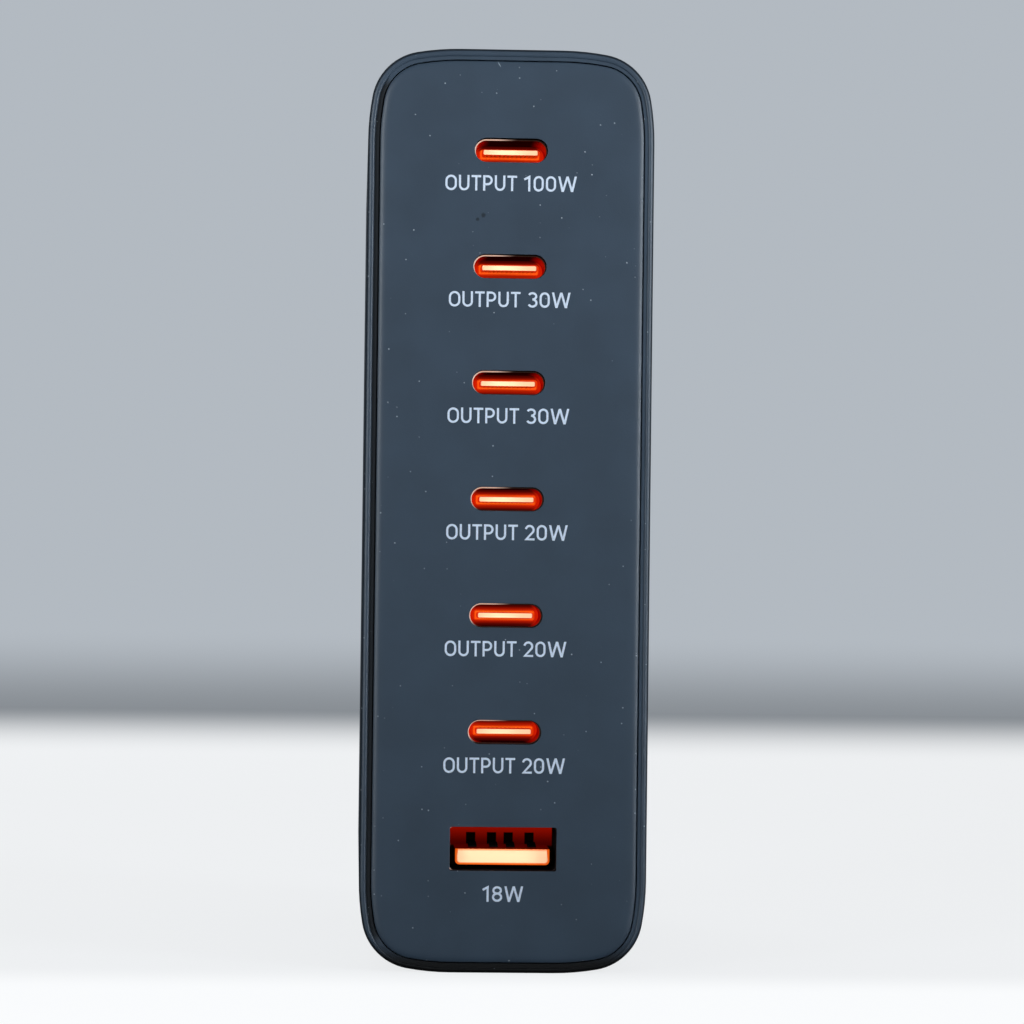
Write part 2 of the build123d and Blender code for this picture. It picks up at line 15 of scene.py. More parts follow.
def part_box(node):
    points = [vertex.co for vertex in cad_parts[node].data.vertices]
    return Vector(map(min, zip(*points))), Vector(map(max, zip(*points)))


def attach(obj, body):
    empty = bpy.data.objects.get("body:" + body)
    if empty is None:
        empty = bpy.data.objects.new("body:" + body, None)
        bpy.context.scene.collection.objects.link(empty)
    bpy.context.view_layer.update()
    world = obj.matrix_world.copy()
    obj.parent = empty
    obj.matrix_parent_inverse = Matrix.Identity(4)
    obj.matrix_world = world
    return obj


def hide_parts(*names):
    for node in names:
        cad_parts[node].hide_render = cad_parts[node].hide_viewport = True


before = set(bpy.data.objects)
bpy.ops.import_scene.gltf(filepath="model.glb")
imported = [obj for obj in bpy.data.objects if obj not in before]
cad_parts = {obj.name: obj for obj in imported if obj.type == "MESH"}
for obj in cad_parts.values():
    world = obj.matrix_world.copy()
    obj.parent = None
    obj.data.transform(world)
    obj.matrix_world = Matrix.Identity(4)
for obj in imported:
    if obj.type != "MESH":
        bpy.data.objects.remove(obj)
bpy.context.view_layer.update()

bl_info = {
    "name": "Desktop charger",
    "version": (1, 0, 0),
    "blender": (4, 5, 0),
    "location": "3D View > Sidebar > Charger",
    "description": "Skins, sockets, printed marks and finishes of a tall desktop charger",
    "category": "Object",
}

mm = 0.001
small_sockets = [1, 2, 3, 4, 5, 6]
converters = [1, 2, 3, 4, 5, 6, 7]
housing_low, housing_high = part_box("main_housing")
panel_low, panel_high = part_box("front_panel")
seat_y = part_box("usb_a_shell")[0].y
black = (0.0, 0.0, 0.0)
hair = 1e-7  # keeps a round end's two arcs apart


def length(name, default, description):
    """A length given in millimetres, for a property group."""
    return FloatProperty(name=name, description=description, default=default * mm, unit="LENGTH", precision=5)


def colour(name, default, description):
    """A linear colour, for a property group."""
    return FloatVectorProperty(name=name, description=description, default=default, subtype="COLOR", min=0, max=1)


def share(name, default, description):
    """A number from 0 to 1, for a property group."""
    return FloatProperty(name=name, description=description, default=default, subtype="FACTOR", min=0, max=1)


def turn(name, default, description):
    """An angle given in degrees, for a property group."""
    return FloatProperty(name=name, description=description, default=math.radians(default), subtype="ANGLE")


def power(name, default, description):
    """A lamp's power, for a property group."""
    return FloatProperty(name=name, description=description, default=default, unit="POWER")


def number(name, default, description):
    """A plain number, for a property group."""
    return FloatProperty(name=name, description=description, default=default)


class ChargerBodySizes(PropertyGroup):
    """Sizes of the housing and the front panel."""

    corner_radius: length("Corner radius", 6.45, "Tight arc in the middle of each corner, seen from the front")
    lead_radius: length("Lead radius", 30.0, "Wide arcs that ease each corner in and out")
    lead_angle: turn("Lead angle", 10.0, "Turn of each wide arc")
    wall: length("Wall", 2.0, "Side walls of the housing")
    back_wall: length("Back wall", 2.4, "Back wall of the housing")
    rim_width: length("Rim width", 1.225, "Rim round the front panel, with its inner ledge")
    crest: length("Crest", 0.5, "From the outside to the top of the rim's bead")
    bead: length("Bead", 0.74, "Width of the rim's bead, up to the ledge")
    outer_drop: length("Outer drop", 0.5, "Depth of the bead's rounding towards the outside")
    ledge_depth: length("Ledge depth", 0.16, "Depth of the rim's ledge, inside the bead")
    ledge_sink: length("Ledge sink", 0.36, "How much deeper the ledge lies along the left side")
    sink_start: length("Sink start", 2.3, "From the left side to where the ledge begins to sink")
    sink_reach: length("Sink reach", 2.0, "Width over which the ledge sinks")
    bead_x: length("Bead X", 0.03, "How far the bead's inner side sits to the right; its crest half of it")
    bead_z: length("Bead Z", -0.16, "How far the bead's inner side sits upwards; its crest half of it")
    shift_x: length("Shift X", 0.12, "How far the ledge and the panel sit to the right")
    shift_z: length("Shift Z", -0.09, "How far the ledge and the panel sit upwards")
    panel_gap: length("Panel gap", 0.12, "From the ledge to the panel")
    soft_edge: length("Soft edge", 0.08, "Softening of the ledge's and the inlet window's edges")
    ledge_shade: length("Ledge shade", 0.04, "Depth below the ledge at which its shade begins")
    panel_shade: length("Panel shade", 0.35, "Depth below the panel's face at which its shade begins")
    housing_dust: length("Housing dust", 4.0, "Width of the dustier strips along the housing's sides")
    panel_dust: length("Panel dust", 3.5, "Width of the dustier strips along the panel's sides")
    # painted shade: the housing darkens towards the floor below this height
    foot_shade_height: length("Foot height", 4.5, "Height below which the housing darkens")
    back_bevel: length("Back bevel", 1.6, "Bevel of the back edge")
    bevel_ease: length("Bevel ease", 0.35, "Softening of the bevel's two edges")
    window_width: length("Window width", 18.7, "Opening for the mains inlet")
    window_height: length("Window height", 10.9, "Opening for the mains inlet")
    window_radius: length("Window radius", 3.15, "Corners of the opening for the mains inlet")
    rail_rib: length("Rail rib", 1.0, "Ribs on both sides of the main board")
    rail_clearance: length("Rail clearance", 0.1, "Play of the main board in its rails")
    rail_grip: length("Rail grip", 2.0, "How far the rails reach over the main board")
    roll_width: length("Roll width", 1.4, "Width of the panel's rolled edge, seen from the front")
    roll_depth: length("Roll depth", 0.19, "Depth of the panel's rolled edge")
    roll_power: number("Roll power", 5.0, "How fast the rolled edge flattens out")
    swell_width: length("Swell width", 4.0, "Width over which the panel's face swells from its edge")
    swell_depth: length("Swell depth", 0.1, "Depth of the swell at the panel's edge")
    hole_margin: length("Hole margin", 0.14, "How far an opening stands outside a small socket's mouth")
    hole_edge: length("Hole edge", 0.035, "Rounding of the openings' front edges")
    large_corner: length("Large corner", 0.22, "Corners of the large socket's opening")
    rib_depth: length("Rib depth", 3.0, "Ribs behind the panel")
    rib_thickness: length("Rib thickness", 1.2, "Ribs behind the panel")
    rib_end_gap: length("Rib end gap", 1.0, "From the end of a rib to the corner")


class ChargerSocketSizes(PropertyGroup):
    """Sizes of the sockets' insides."""

    large_reach: length("Large reach", 8.3, "From the large socket's floor to its tongue's tip")
    large_width: length("Large width", 11.1, "Width of the large tongue")
    large_thickness: length("Large thickness", 1.84, "Thickness of the large tongue")
    large_drop: length("Large drop", 0.16, "How far the large tongue's top lies below the socket's middle")
    large_round: length("Large round", 0.5, "Corners of the large socket's block and tongue")
    large_bevel: length("Large bevel", 0.32, "Bevel of the large tongue's nose")
    outer_slots: length("Outer slots", 7.0, "Spacing of the large socket's outer slots")
    inner_slots: length("Inner slots", 2.0, "Spacing of the large socket's inner slots")
    slot_width: length("Slot width", 1.12, "Width of the large socket's slots")
    slot_height: length("Slot height", 1.45, "Height of the large socket's slots")
    slot_lift: length("Slot lift", 0.03, "From the large tongue's top up to the slots")
    slot_depth: length("Slot depth", 2.4, "Depth of the large socket's slots")
    shell_wall: length("Shell wall", 0.3, "Thickness of the steel shells")
    block_gap: length("Block gap", 0.02, "From the small socket's block to its shell")
    floor_depth: length("Floor depth", 6.2, "Depth of the small socket's floor behind its mouth")
    tip_depth: length("Tip depth", 1.1, "Depth of the small tongue's tip behind its mouth")
    tongue_width: length("Tongue width", 6.69, "Width of the small tongue")
    tongue_thickness: length("Tongue thickness", 0.7, "Thickness of the small tongue")
    tip_corner: length("Tip corner", 0.26, "Rounding of the small tongue's two corners, seen from above")
    collar_step: length("Collar step", 0.3, "How far the collar stands round the small tongue's root")
    collar_round: length("Collar round", 0.5, "Corners of the collar")
    tongue_round: length("Tongue round", 0.2, "Corners of the small tongue")
    collar_length: length("Collar length", 2.2, "Length of the collar from the socket's floor")
    ease: length("Ease", 0.1, "Rounding of the mouldings' edges")
    pad_count: IntProperty(name="Pads", description="Contact pads on each side of the small tongue", default=12)
    pad_pitch: length("Pad pitch", 0.5, "Spacing of the contact pads")
    pad_rise: length("Pad rise", 0.012, "How far a contact pad stands out of the tongue")
    pad_width: length("Pad width", 0.26, "Width of one contact pad")


class ChargerPrintSizes(PropertyGroup):
    """Sizes and places of the printed marks."""

    letter_height: length("Letter height", 1.82, "Height of a capital letter")
    letter_gap: length("Letter gap", 0.24, "Space between letters")
    stroke: length("Stroke", 0.25, "Width of a letter's strokes")
    ink_thickness: length("Ink thickness", 0.012, "Height of the ink over the panel")
    small_drop: length("Small drop", 3.9, "From a small socket's middle down to its mark's middle")
    large_drop: length("Large drop", 5.25, "From the large socket's middle down to its mark's middle")


class ChargerColours(PropertyGroup):
    """Colours of the finishes."""

    slate: colour("Slate", (0.0345, 0.055, 0.083), "Moulded plastic of the housing and the panel")
    dust: colour("Dust", (0.36, 0.42, 0.48), "Dust on the plastic")
    dust_amount: share("Dust amount", 0.5, "How much dust lies on the plastic")
    # painted shade: near-black walls of the panel's openings, where the slate plastic lies in shade
    opening: colour("Opening", (0.004, 0.004, 0.005), "Walls of the panel's openings")
    ink: colour("Ink", (0.66, 0.75, 0.89), "Printed marks")
    # painted light on the tongues' tips
    painted_tip_light: colour("Tongue tip", (1.0, 0.62, 0.36), "Moulded tongues at their tips")
    tongue_root: colour("Tongue root", (1.0, 0.14, 0.010), "Collars of the tongues, and the large tongue's bevel")
    # painted shade on the small tongues' sides
    painted_side_shade: colour("Tongue side", (0.66, 0.030, 0.002), "Small tongues behind their tips")
    # painted shade on the sockets' floors, with painted light near the small tongues and at the large floor's upper
    # end
    painted_floor_shade: colour("Socket floor", (0.05, 0.0005, 0.0), "Floors of the sockets")
    painted_floor_light: colour("Socket near", (0.55, 0.015, 0.0005), "Floors of the small sockets, near the tongue")
    painted_top_light: colour("Socket top", (0.26, 0.004, 0.0), "Upper end of the large socket's floor")
    # painted shade in the large socket's slots and on its floor below them
    slot: colour("Slot", (0.0015, 0.0004, 0.0), "Slots of the large socket, and the floor below them")
    # painted glow: emission on the orange plastic that stands in for light; it is no lamp
    painted_root_glow: share("Root glow", 0.72, "Light that the clear orange plastic gives back from inside")
    painted_tip_glow: share("Tip glow", 0.74, "Light that the tongues' tips give back from inside")
    steel: colour("Steel", (0.75, 0.74, 0.73), "Drawn shells of the sockets")
    # painted reflection of the orange inside the small shells, and painted shade inside the large one
    painted_steel_inside: colour("Steel inside", (0.03, 0.002, 0.001), "Drawn shells inside, mirroring the orange")
    painted_steel_ends: colour("Steel ends", (0.65, 0.020, 0.001), "Drawn shells inside, at their two ends")
    painted_steel_large: colour("Steel large", (0.012, 0.008, 0.008), "Drawn shell of the large socket, inside")
    # painted highlight on the shells' mouths
    painted_glint: colour("Glint", (0.62, 0.36, 0.26), "Light on the upper left of the shells' mouths")
    gold: colour("Gold", (0.95, 0.50, 0.16), "Plated pads")
    # painted shade: the large socket's contacts are near-black
    spring: colour("Spring", (0.006, 0.005, 0.005), "Sprung contacts of the large socket")
    inlet: colour("Inlet", (0.012, 0.012, 0.014), "Moulded mains inlet")
    nickel: colour("Nickel", (0.66, 0.64, 0.60), "Plated mains pins")


class ChargerStudio(PropertyGroup):
    """Floor, backdrop, lamps and camera."""

    floor: colour("Floor", (0.96, 0.975, 0.99), "Plain floor")
    backdrop: colour("Backdrop", (0.450, 0.490, 0.535), "Plain backdrop")
    # painted shade: the backdrop darker where it meets the floor
    foot: share("Foot", 0.55, "Brightness of the backdrop where it meets the floor")
    foot_low: number("Foot low", -0.036, "Slope of the sight line below which the backdrop is its foot")
    foot_high: number("Foot high", -0.013, "Slope of the sight line above which the backdrop is plain")
    surround: share("Surround", 0.10, "Brightness of the room that the part mirrors")
    floor_side: length("Floor's sides", 1600.0, "How far the floor reaches beside the part")
    floor_front: length("Floor's near edge", 1400.0, "How far the floor reaches in front of the part")
    floor_back: length("Floor's far edge", 860.0, "How far the floor reaches behind the part")
    floor_fade: length("Floor's fade", 360.0, "Over what length the floor fades to the backdrop at its far edge")
    lit_front: share("Lit in front", 0.99, "How much of the floor in front of the part is lit from inside")
    lit_behind: share("Lit behind", 0.82, "How much of the floor beside and behind the part is lit from inside")
    bounce: share("Bounce", 0.12, "How much light the floor sends back to the part")
    sky: share("Sky", 0.22, "Strength of the light from all round")
    sky_colour: colour("Sky colour", (0.94, 0.97, 1.0), "Light from all round")
    key_power: power("Key lamp", 0.06, "Power of the lamp above")
    left_power: power("Left lamp", 0.23, "Power of the lamp at the left")
    right_power: power("Right lamp", 0.34, "Power of the lamp at the right")
    back_power: power("Back lamp", 1.3, "Power of the lamp behind")
    aim: length("Aim", 170.0, "Height at which the side lamps are aimed")
    spread: turn("Spread", 50.0, "Spread of the side lamps")
    lamp: colour("Lamp", (0.90, 0.96, 1.0), "Light of the lamps")
    camera_x: length("Camera X", -17.67, "Camera's place to the right of the middle")
    camera_distance: length("Camera distance", 445.0, "From the camera to the front of the part")
    camera_height: length("Camera height", 45.76, "Camera's height over the floor")
    camera_yaw: turn("Camera yaw", -2.346, "Turn of the camera about the upright")
    camera_pitch: turn("Camera pitch", 1.059, "Tilt of the camera upwards")
    camera_roll: turn("Camera roll", 0.688, "Turn of the camera about its own line of sight")
    camera_lens: number("Lens", 133.54, "Focal length in millimetres")


class Value:
    """A socket of a finish; sums on it become Math nodes."""

    def __init__(self, finish, socket):
        self.finish = finish
        self.socket = socket

    def other(self, name):
        """Another output of the same node."""
        return Value(self.finish, self.socket.node.outputs[name])

    def math(self, operation, other=0.0, turned=False):
        """The result of one Math node on this and the other value, or turned, on the other and this."""
        first, second = (other, self) if turned else (self, other)
        return self.finish.node("ShaderNodeMath", {"operation": operation}, {0: first, 1: second})

    def __add__(self, other):
        return self.math("ADD", other)

    def __radd__(self, other):
        return self.math("ADD", other, True)

    def __sub__(self, other):
        return self.math("SUBTRACT", other)

    def __rsub__(self, other):
        return self.math("SUBTRACT", other, True)

    def __mul__(self, other):
        return self.math("MULTIPLY", other)

    def __rmul__(self, other):
        return self.math("MULTIPLY", other, True)

    def __truediv__(self, other):
        return self.math("DIVIDE", other)

    def __rtruediv__(self, other):
        return self.math("DIVIDE", other, True)

    def __gt__(self, other):
        return self.math("GREATER_THAN", other)

    def __abs__(self):
        return self.math("ABSOLUTE")


class Finish:
    """The nodes of one material or of the world."""

    def __init__(self, owner):
        self.owner = owner
        owner.use_nodes = True
        self.tree = owner.node_tree
        self.tree.nodes.clear()

    def node(self, kind, settings=None, sockets=None, output=0):
        """Add a node of that kind, with its settings, then the values or links of its sockets."""
        made = self.tree.nodes.new(kind)
        for name, value in (settings or {}).items():
            setattr(made, name, value)
        for name, value in (sockets or {}).items():
            socket = self.find(made.inputs, name)
            if isinstance(value, Value):
                self.tree.links.new(value.socket, socket)
            else:
                socket.default_value = value
        return Value(self, self.find(made.outputs, output)) if made.outputs else None

    def find(self, sockets, name):
        """A socket by its place, or by its name among those in use."""
        if isinstance(name, int):
            return sockets[name]
        return next(socket for socket in sockets if socket.name == name and socket.enabled)

    def blend(self, amount, first, second):
        """A colour between two, by an amount from 0 to 1."""
        sockets = {"Factor": amount, "A": opaque(first), "B": opaque(second)}
        return self.node("ShaderNodeMix", {"data_type": "RGBA"}, sockets, "Result")

    def span(self, value, low, high, first=0.0, second=1.0):
        """A value brought from low and high to first and second, and held there."""
        sockets = {"Value": value, "From Min": low, "From Max": high, "To Min": first, "To Max": second}
        return self.node("ShaderNodeMapRange", {"interpolation_type": "SMOOTHSTEP"}, sockets)

    def stretch(self, vector, factors):
        """A vector with its three parts scaled."""
        return self.node("ShaderNodeVectorMath", {"operation": "MULTIPLY"}, {0: vector, 1: factors})

    def place(self):
        """The point on the part in millimetres."""
        return self.stretch(self.node("ShaderNodeTexCoord", output="Object"), (1 / mm, 1 / mm, 1 / mm))

    def parts(self, vector, axis="X"):
        """One part of a vector; its node has the others."""
        return self.node("ShaderNodeSeparateXYZ", None, {"Vector": vector}, axis)

    def facing(self):
        """How far the surface faces along Y; its node has the other ways."""
        return self.parts(self.node("ShaderNodeNewGeometry", output="Normal"), "Y")

    def apart(self, x, z):
        """Length of an offset across the face."""
        offset = self.node("ShaderNodeCombineXYZ", None, {"X": x, "Z": z})
        return self.node("ShaderNodeVectorMath", {"operation": "LENGTH"}, {0: offset}, "Value")

    def noise(self, vector, scale, detail=2.0, roughness=0.5):
        """Soft noise about 0.5; scale is in waves for each millimetre."""
        sockets = {"Vector": vector, "Scale": scale, "Detail": detail, "Roughness": roughness}
        return self.node("ShaderNodeTexNoise", None, sockets)

    def mix(self, amount, first, second):
        """A shader between two, by an amount from 0 to 1."""
        return self.node("ShaderNodeMixShader", None, {0: amount, 1: first, 2: second})

    def uneven(self, noise, low, high, tint, part):
        """A colour that goes down to a part of itself as the noise goes from low to high."""
        return self.blend(self.span(noise, low, high), tint, scaled(tint, part))

    def bump(self, height, distance):
        """A normal from a height that varies, with the relief in metres."""
        return self.node("ShaderNodeBump", None, {"Height": height, "Distance": distance})

    def glow(self, tip, tint, colours):
        """Painted glow on clear plastic that stands in for light, stronger on a tip."""
        return self.blend(tip, self.blend(colours.painted_root_glow, black, tint), self.blend(colours.painted_tip_glow, black, tint))

    def clear(self, grain, tint, glow, gloss):
        """End the material as clear plastic with a painted glow."""
        return self.surface(
            Base_Color=tint,
            Roughness=self.span(grain, 0.2, 0.8, 0.30, 0.42),
            Normal=self.bump(grain, 0.004 * mm),
            Emission_Color=glow,
            Emission_Strength=1.0,
            Specular_IOR_Level=gloss,
        )

    def surface(self, **sockets):
        """End the material in one shader with those sockets."""
        named = {name.replace("_", " "): value for name, value in sockets.items()}
        shader = self.node("ShaderNodeBsdfPrincipled", None, named)
        self.node("ShaderNodeOutputMaterial", None, {"Surface": shader})
        return self.owner


def opaque(tint):
    """A colour with its alpha, or a link as it is."""
    return tint if isinstance(tint, Value) else (*tint, 1.0)[:4]


def scaled(tint, part):
    """A colour brought down to a part of itself."""
    return [channel * part for channel in tint]


def new_finish(name):
    """The nodes of a new material."""
    return Finish(bpy.data.materials.new(name))


def slate_plastic(name, colours, edge_x, painted_shade_y, painted_shade_z=0.0, spots=()):
    """Matt moulded plastic with grain: dusty past edge_x, painted shade in recesses past a given depth, on the
    housing also at its foot and its rim's outer side, with odd spots.
    """
    finish = new_finish(name)
    point = finish.place()
    x = finish.parts(point)
    y, z = x.other("Y"), x.other("Z")
    grain = finish.noise(point, 7.0, 3.0, 0.6)
    mottle = finish.noise(point, 0.16, 3.0)
    cells = finish.node("ShaderNodeTexVoronoi", None, {"Vector": point, "Scale": 1.15}, "Distance")
    lot = finish.node("ShaderNodeSeparateColor", None, {"Color": cells.other("Color")}, "Red")
    edge = finish.span(abs(x), edge_x, edge_x + 3.0)
    chance = 0.92 - 0.10 * colours.dust_amount - edge * (0.45 * colours.dust_amount)
    size = 0.05 + lot.other("Green") * 0.13
    speck = (lot > chance) * finish.span(cells, size * 0.4, size, 1.0, 0.0)
    tone = finish.span(mottle, 0.25, 0.75, 0.92, 1.08)
    # painted shade: darker in recesses past a given depth, such as the sunk ledge and the panel's sides
    deep = finish.span(y, painted_shade_y / mm, painted_shade_y / mm + 0.24)
    if painted_shade_z:
        # the housing: painted shade at its foot, in its sunk ledge, and where the rim's outer side turns away
        tone = tone * finish.span(z, 0.2 * painted_shade_z / mm, painted_shade_z / mm, 0.02, 1.0)
        facing = finish.facing()
        deep = deep * finish.span(facing, -0.6, -0.4, 1.0, 0.0)
        middle = (housing_low.z + housing_high.z) / 2 / mm
        outward = facing.other("X") * x + facing.other("Z") * (z - middle) * 0.45
        front = finish.span(y, housing_low.y / mm + 1.0, housing_low.y / mm + 2.0, 1.0, 0.0)
        tone = tone * (1.0 - finish.span(outward, 9.0, 13.0) * front * 0.65)
    tone = tone * (1.0 - deep * 0.85)
    base = finish.node(
        "ShaderNodeMix",
        {"data_type": "RGBA", "blend_type": "MULTIPLY"},
        {"Factor": 1.0, "A": opaque(colours.slate), "B": tone},
        "Result",
    )
    tint = finish.blend(speck * finish.span(lot.other("Blue"), 0.0, 1.0, 0.25, 0.9), base, colours.dust)
    for spot in spots:
        up, radius = z - spot["z"], spot["radius"]
        away = finish.apart((x - spot["x"] + up * spot["lean"]) * spot["narrow"], up)
        tint = finish.blend(finish.span(away + grain * radius, radius, 1.6 * radius, 0.8, 0.0), tint, spot["shade"])
    return finish.surface(
        Base_Color=tint,
        Roughness=finish.span(grain, 0.2, 0.8, 0.39, 0.49) + speck * 0.3 + deep * 0.35,
        Normal=finish.bump(grain + speck * 2.0, 0.010 * mm),
        Specular_IOR_Level=0.45,
    )


def printed_ink(colours):
    """Pale screen-printed ink, a little uneven."""
    finish = new_finish("printed_ink")
    grain = finish.noise(finish.place(), 5.0, 3.0)
    tint = finish.uneven(grain, 0.3, 0.7, colours.ink, 0.86)
    return finish.surface(Base_Color=tint, Roughness=0.55, Normal=finish.bump(grain, 0.006 * mm))


def orange_small(colours, sizes, tip_y, root_y, first_z, pitch):
    """Clear orange plastic of the small sockets: painted light on the tongue's tip, painted shade on its sides, and
    on the floor painted light near the tongue and painted shade away from it.
    """
    finish = new_finish("orange_small_tongue")
    point = finish.place()
    x = finish.parts(point)
    y = x.other("Y")
    tip_y, root_y, first_z, pitch = (value / mm for value in (tip_y, root_y, first_z, pitch))
    half_width, half_height = sizes.tongue_width / mm / 2, sizes.tongue_thickness / mm / 2
    grain = finish.noise(point, 9.0, 2.0)
    # painted light on the tip's face
    tip = finish.span(y, tip_y + 0.1, tip_y + 0.4, 1.0, 0.0) * finish.span(finish.facing(), -0.97, -0.80, 1.0, 0.0)
    collar = finish.span(y, root_y - 0.1, root_y)
    far = finish.span(y, root_y + 0.1, root_y + 0.5)
    # painted light on the floor near the tongue and its ends, painted shade away from it
    away = (x.other("Z") - first_z).math("PINGPONG", pitch / 2)
    ends = finish.span(abs(x), half_width - 0.3, half_width + 0.6)
    near = finish.span(away, 0.45, 1.15, 1.0, 0.03).math("MAXIMUM", ends * 0.8)
    floor = finish.blend(near, colours.painted_floor_shade, colours.painted_floor_light)
    apart = finish.apart((abs(x) - half_width).math("MAXIMUM"), (away - half_height).math("MAXIMUM"))
    # painted shade on the tongue's sides, the plastic's own orange at the collar
    side = finish.blend(collar * finish.span(apart, 0.06, 0.24, 1.0, 0.0), colours.painted_side_shade, colours.tongue_root)
    tint = finish.blend(far, finish.blend(tip, side, colours.painted_tip_light), floor)
    # painted glow, strongest on the tip
    return finish.clear(grain, tint, finish.glow(tip, tint, colours), 0.2)


def orange_large(colours, tip_y, slot_y, top_z, high_z):
    """Clear orange plastic of the large socket: painted light on the tip's face, orange bevel, and behind them black
    with a painted glow, deep red on the floor above top_z and painted shade in the slots.
    """
    finish = new_finish("orange_large_tongue")
    point = finish.place()
    y = finish.parts(point, "Y")
    z = y.other("Z")
    tip_y, slot_y, top_z, high_z = (value / mm for value in (tip_y, slot_y, top_z, high_z))
    grain = finish.noise(point, 9.0, 2.0)
    # painted light on the tip's face
    near = finish.span(y, tip_y + 0.36, tip_y + 0.5, 1.0, 0.0)
    face = near * finish.span(finish.facing(), -0.97, -0.80, 1.0, 0.0) * finish.span(z, top_z - 0.3, top_z, 1.0, 0.3)
    # painted shade in the slots and below the tongue's top, painted light rising towards the floor's top
    red = finish.span(z, top_z - 0.2, top_z) * finish.span(y, slot_y + 0.1, slot_y + 0.3, 1.0, 0.0)
    floor = finish.blend(finish.span(z, top_z, high_z), colours.painted_floor_shade, colours.painted_top_light)
    floor = finish.blend(red, colours.slot, floor)
    tint = finish.blend(near, floor, finish.blend(face, colours.tongue_root, colours.painted_tip_light))
    # behind the tip, black lit only by the painted glow
    glow = finish.blend(near, floor, finish.glow(face, tint, colours))
    return finish.clear(grain, finish.blend(near, black, tint), glow, 0.05)


def drawn_steel(name, colours, mouth_y, inside, ends_tint, first_z, pitch):
    """Drawn steel, marked along the draw: a painted highlight at the mouth's upper left, dull round it, inside a
    painted shade or reflection, with another at its two ends.
    """
    finish = new_finish(name)
    point = finish.place()
    x = finish.parts(point)
    y = x.other("Y")
    marks = finish.noise(finish.stretch(point, (1.0, 0.06, 1.0)), 9.0, 3.0)
    raised = x.other("Z") - (first_z + pitch / 2) / mm
    height = raised.math("FLOORED_MODULO", pitch / mm) - pitch / mm / 2
    # painted highlight on the upper left of every mouth, which also glows
    bright = finish.span(height * 0.6 - x * 0.4, 0.5, 1.6, 0.02, 1.0)
    mouth = finish.blend(bright, inside, finish.uneven(marks, 0.3, 0.7, colours.steel, 0.8))
    # inside the mouth, painted shade and reflection instead of steel
    within = finish.span(y, mouth_y / mm + 0.02, mouth_y / mm + 0.2)
    ends = finish.span(abs(x), 2.4, 4.0)
    return finish.surface(
        Base_Color=finish.blend(within, mouth, finish.blend(ends, inside, ends_tint)),
        Metallic=1.0 - within,
        Roughness=finish.span(marks, 0.2, 0.8, 0.42, 0.58),
        Normal=finish.bump(marks, 0.004 * mm),
        Emission_Color=finish.blend(bright * (1.0 - within), black, colours.painted_glint),
        Emission_Strength=1.0,
        Specular_IOR_Level=0.0,
    )


def plated(name, tint, low, high):
    """Plated metal with faint scuffs."""
    finish = new_finish(name)
    scuffs = finish.noise(finish.place(), 6.0, 4.0, 0.65)
    return finish.surface(
        Base_Color=finish.uneven(scuffs, 0.35, 0.7, tint, 0.82),
        Metallic=1.0,
        Roughness=finish.span(scuffs, 0.25, 0.75, low, high),
        Normal=finish.bump(scuffs, 0.003 * mm),
    )


def moulded(name, tint, low, high, scale=6.0, relief=0.01, metal=0.0, gloss=0.5):
    """A plain moulded, pressed or coated finish with a grain of its own."""
    finish = new_finish(name)
    point = finish.place()
    grain = finish.noise(point, scale, 3.0)
    patches = finish.noise(point, scale * 0.05, 2.0)
    return finish.surface(
        Base_Color=finish.uneven(patches, 0.35, 0.65, tint, 0.8),
        Metallic=metal,
        Roughness=finish.span(grain, 0.25, 0.75, low, high),
        Normal=finish.bump(grain, relief * mm),
        Specular_IOR_Level=gloss,
    )


def banded(name, tint, second, spacing, axis, low, high):
    """Turns of wire or layers of tape, as fine bands along one axis."""
    finish = new_finish(name)
    point = finish.place()
    ridge = finish.span(finish.parts(point, axis).math("PINGPONG", spacing), 0.0, spacing)
    grain = finish.noise(point, 3.0, 2.0)
    shade = finish.blend(ridge * finish.span(grain, 0.2, 0.8, 0.6, 1.0), second, tint)
    return finish.surface(
        Base_Color=shade,
        Roughness=finish.span(grain, 0.25, 0.75, low, high),
        Normal=finish.bump(ridge, 0.08 * mm),
    )


def board_mask():
    """Green solder mask with darker tracks under it."""
    finish = new_finish("solder_mask")
    point = finish.place()
    cells = finish.node(
        "ShaderNodeTexVoronoi",
        {"feature": "DISTANCE_TO_EDGE"},
        {"Vector": point, "Scale": 0.35},
        "Distance",
    )
    track = finish.span(cells, 0.04, 0.08)
    grain = finish.noise(point, 4.0, 2.0)
    shade = finish.blend(track, (0.09, 0.26, 0.10), (0.02, 0.12, 0.05))
    return finish.surface(
        Base_Color=shade,
        Roughness=finish.span(grain, 0.25, 0.75, 0.30, 0.45),
        Normal=finish.bump(track, 0.03 * mm),
    )


def outline(width, height, radius, middle, steps=10):
    """Points (x, z) once round a rounded rectangle, from its right side upwards."""
    points = []
    for quarter, (side, top) in enumerate(((1, 1), (-1, 1), (-1, -1), (1, -1))):
        for step in range(steps + 1):
            angle = (quarter + step / steps) * math.pi / 2
            x = side * (width / 2 - radius) + radius * math.cos(angle)
            z = middle + top * (height / 2 - radius) + radius * math.sin(angle)
            points.append((x, z))
    return points


def corner_reach(sizes):
    """How far a corner reaches along each side of the body."""
    ease = math.cos(sizes.lead_angle) - math.sin(sizes.lead_angle)
    return sizes.lead_radius - (sizes.lead_radius - sizes.corner_radius) * ease


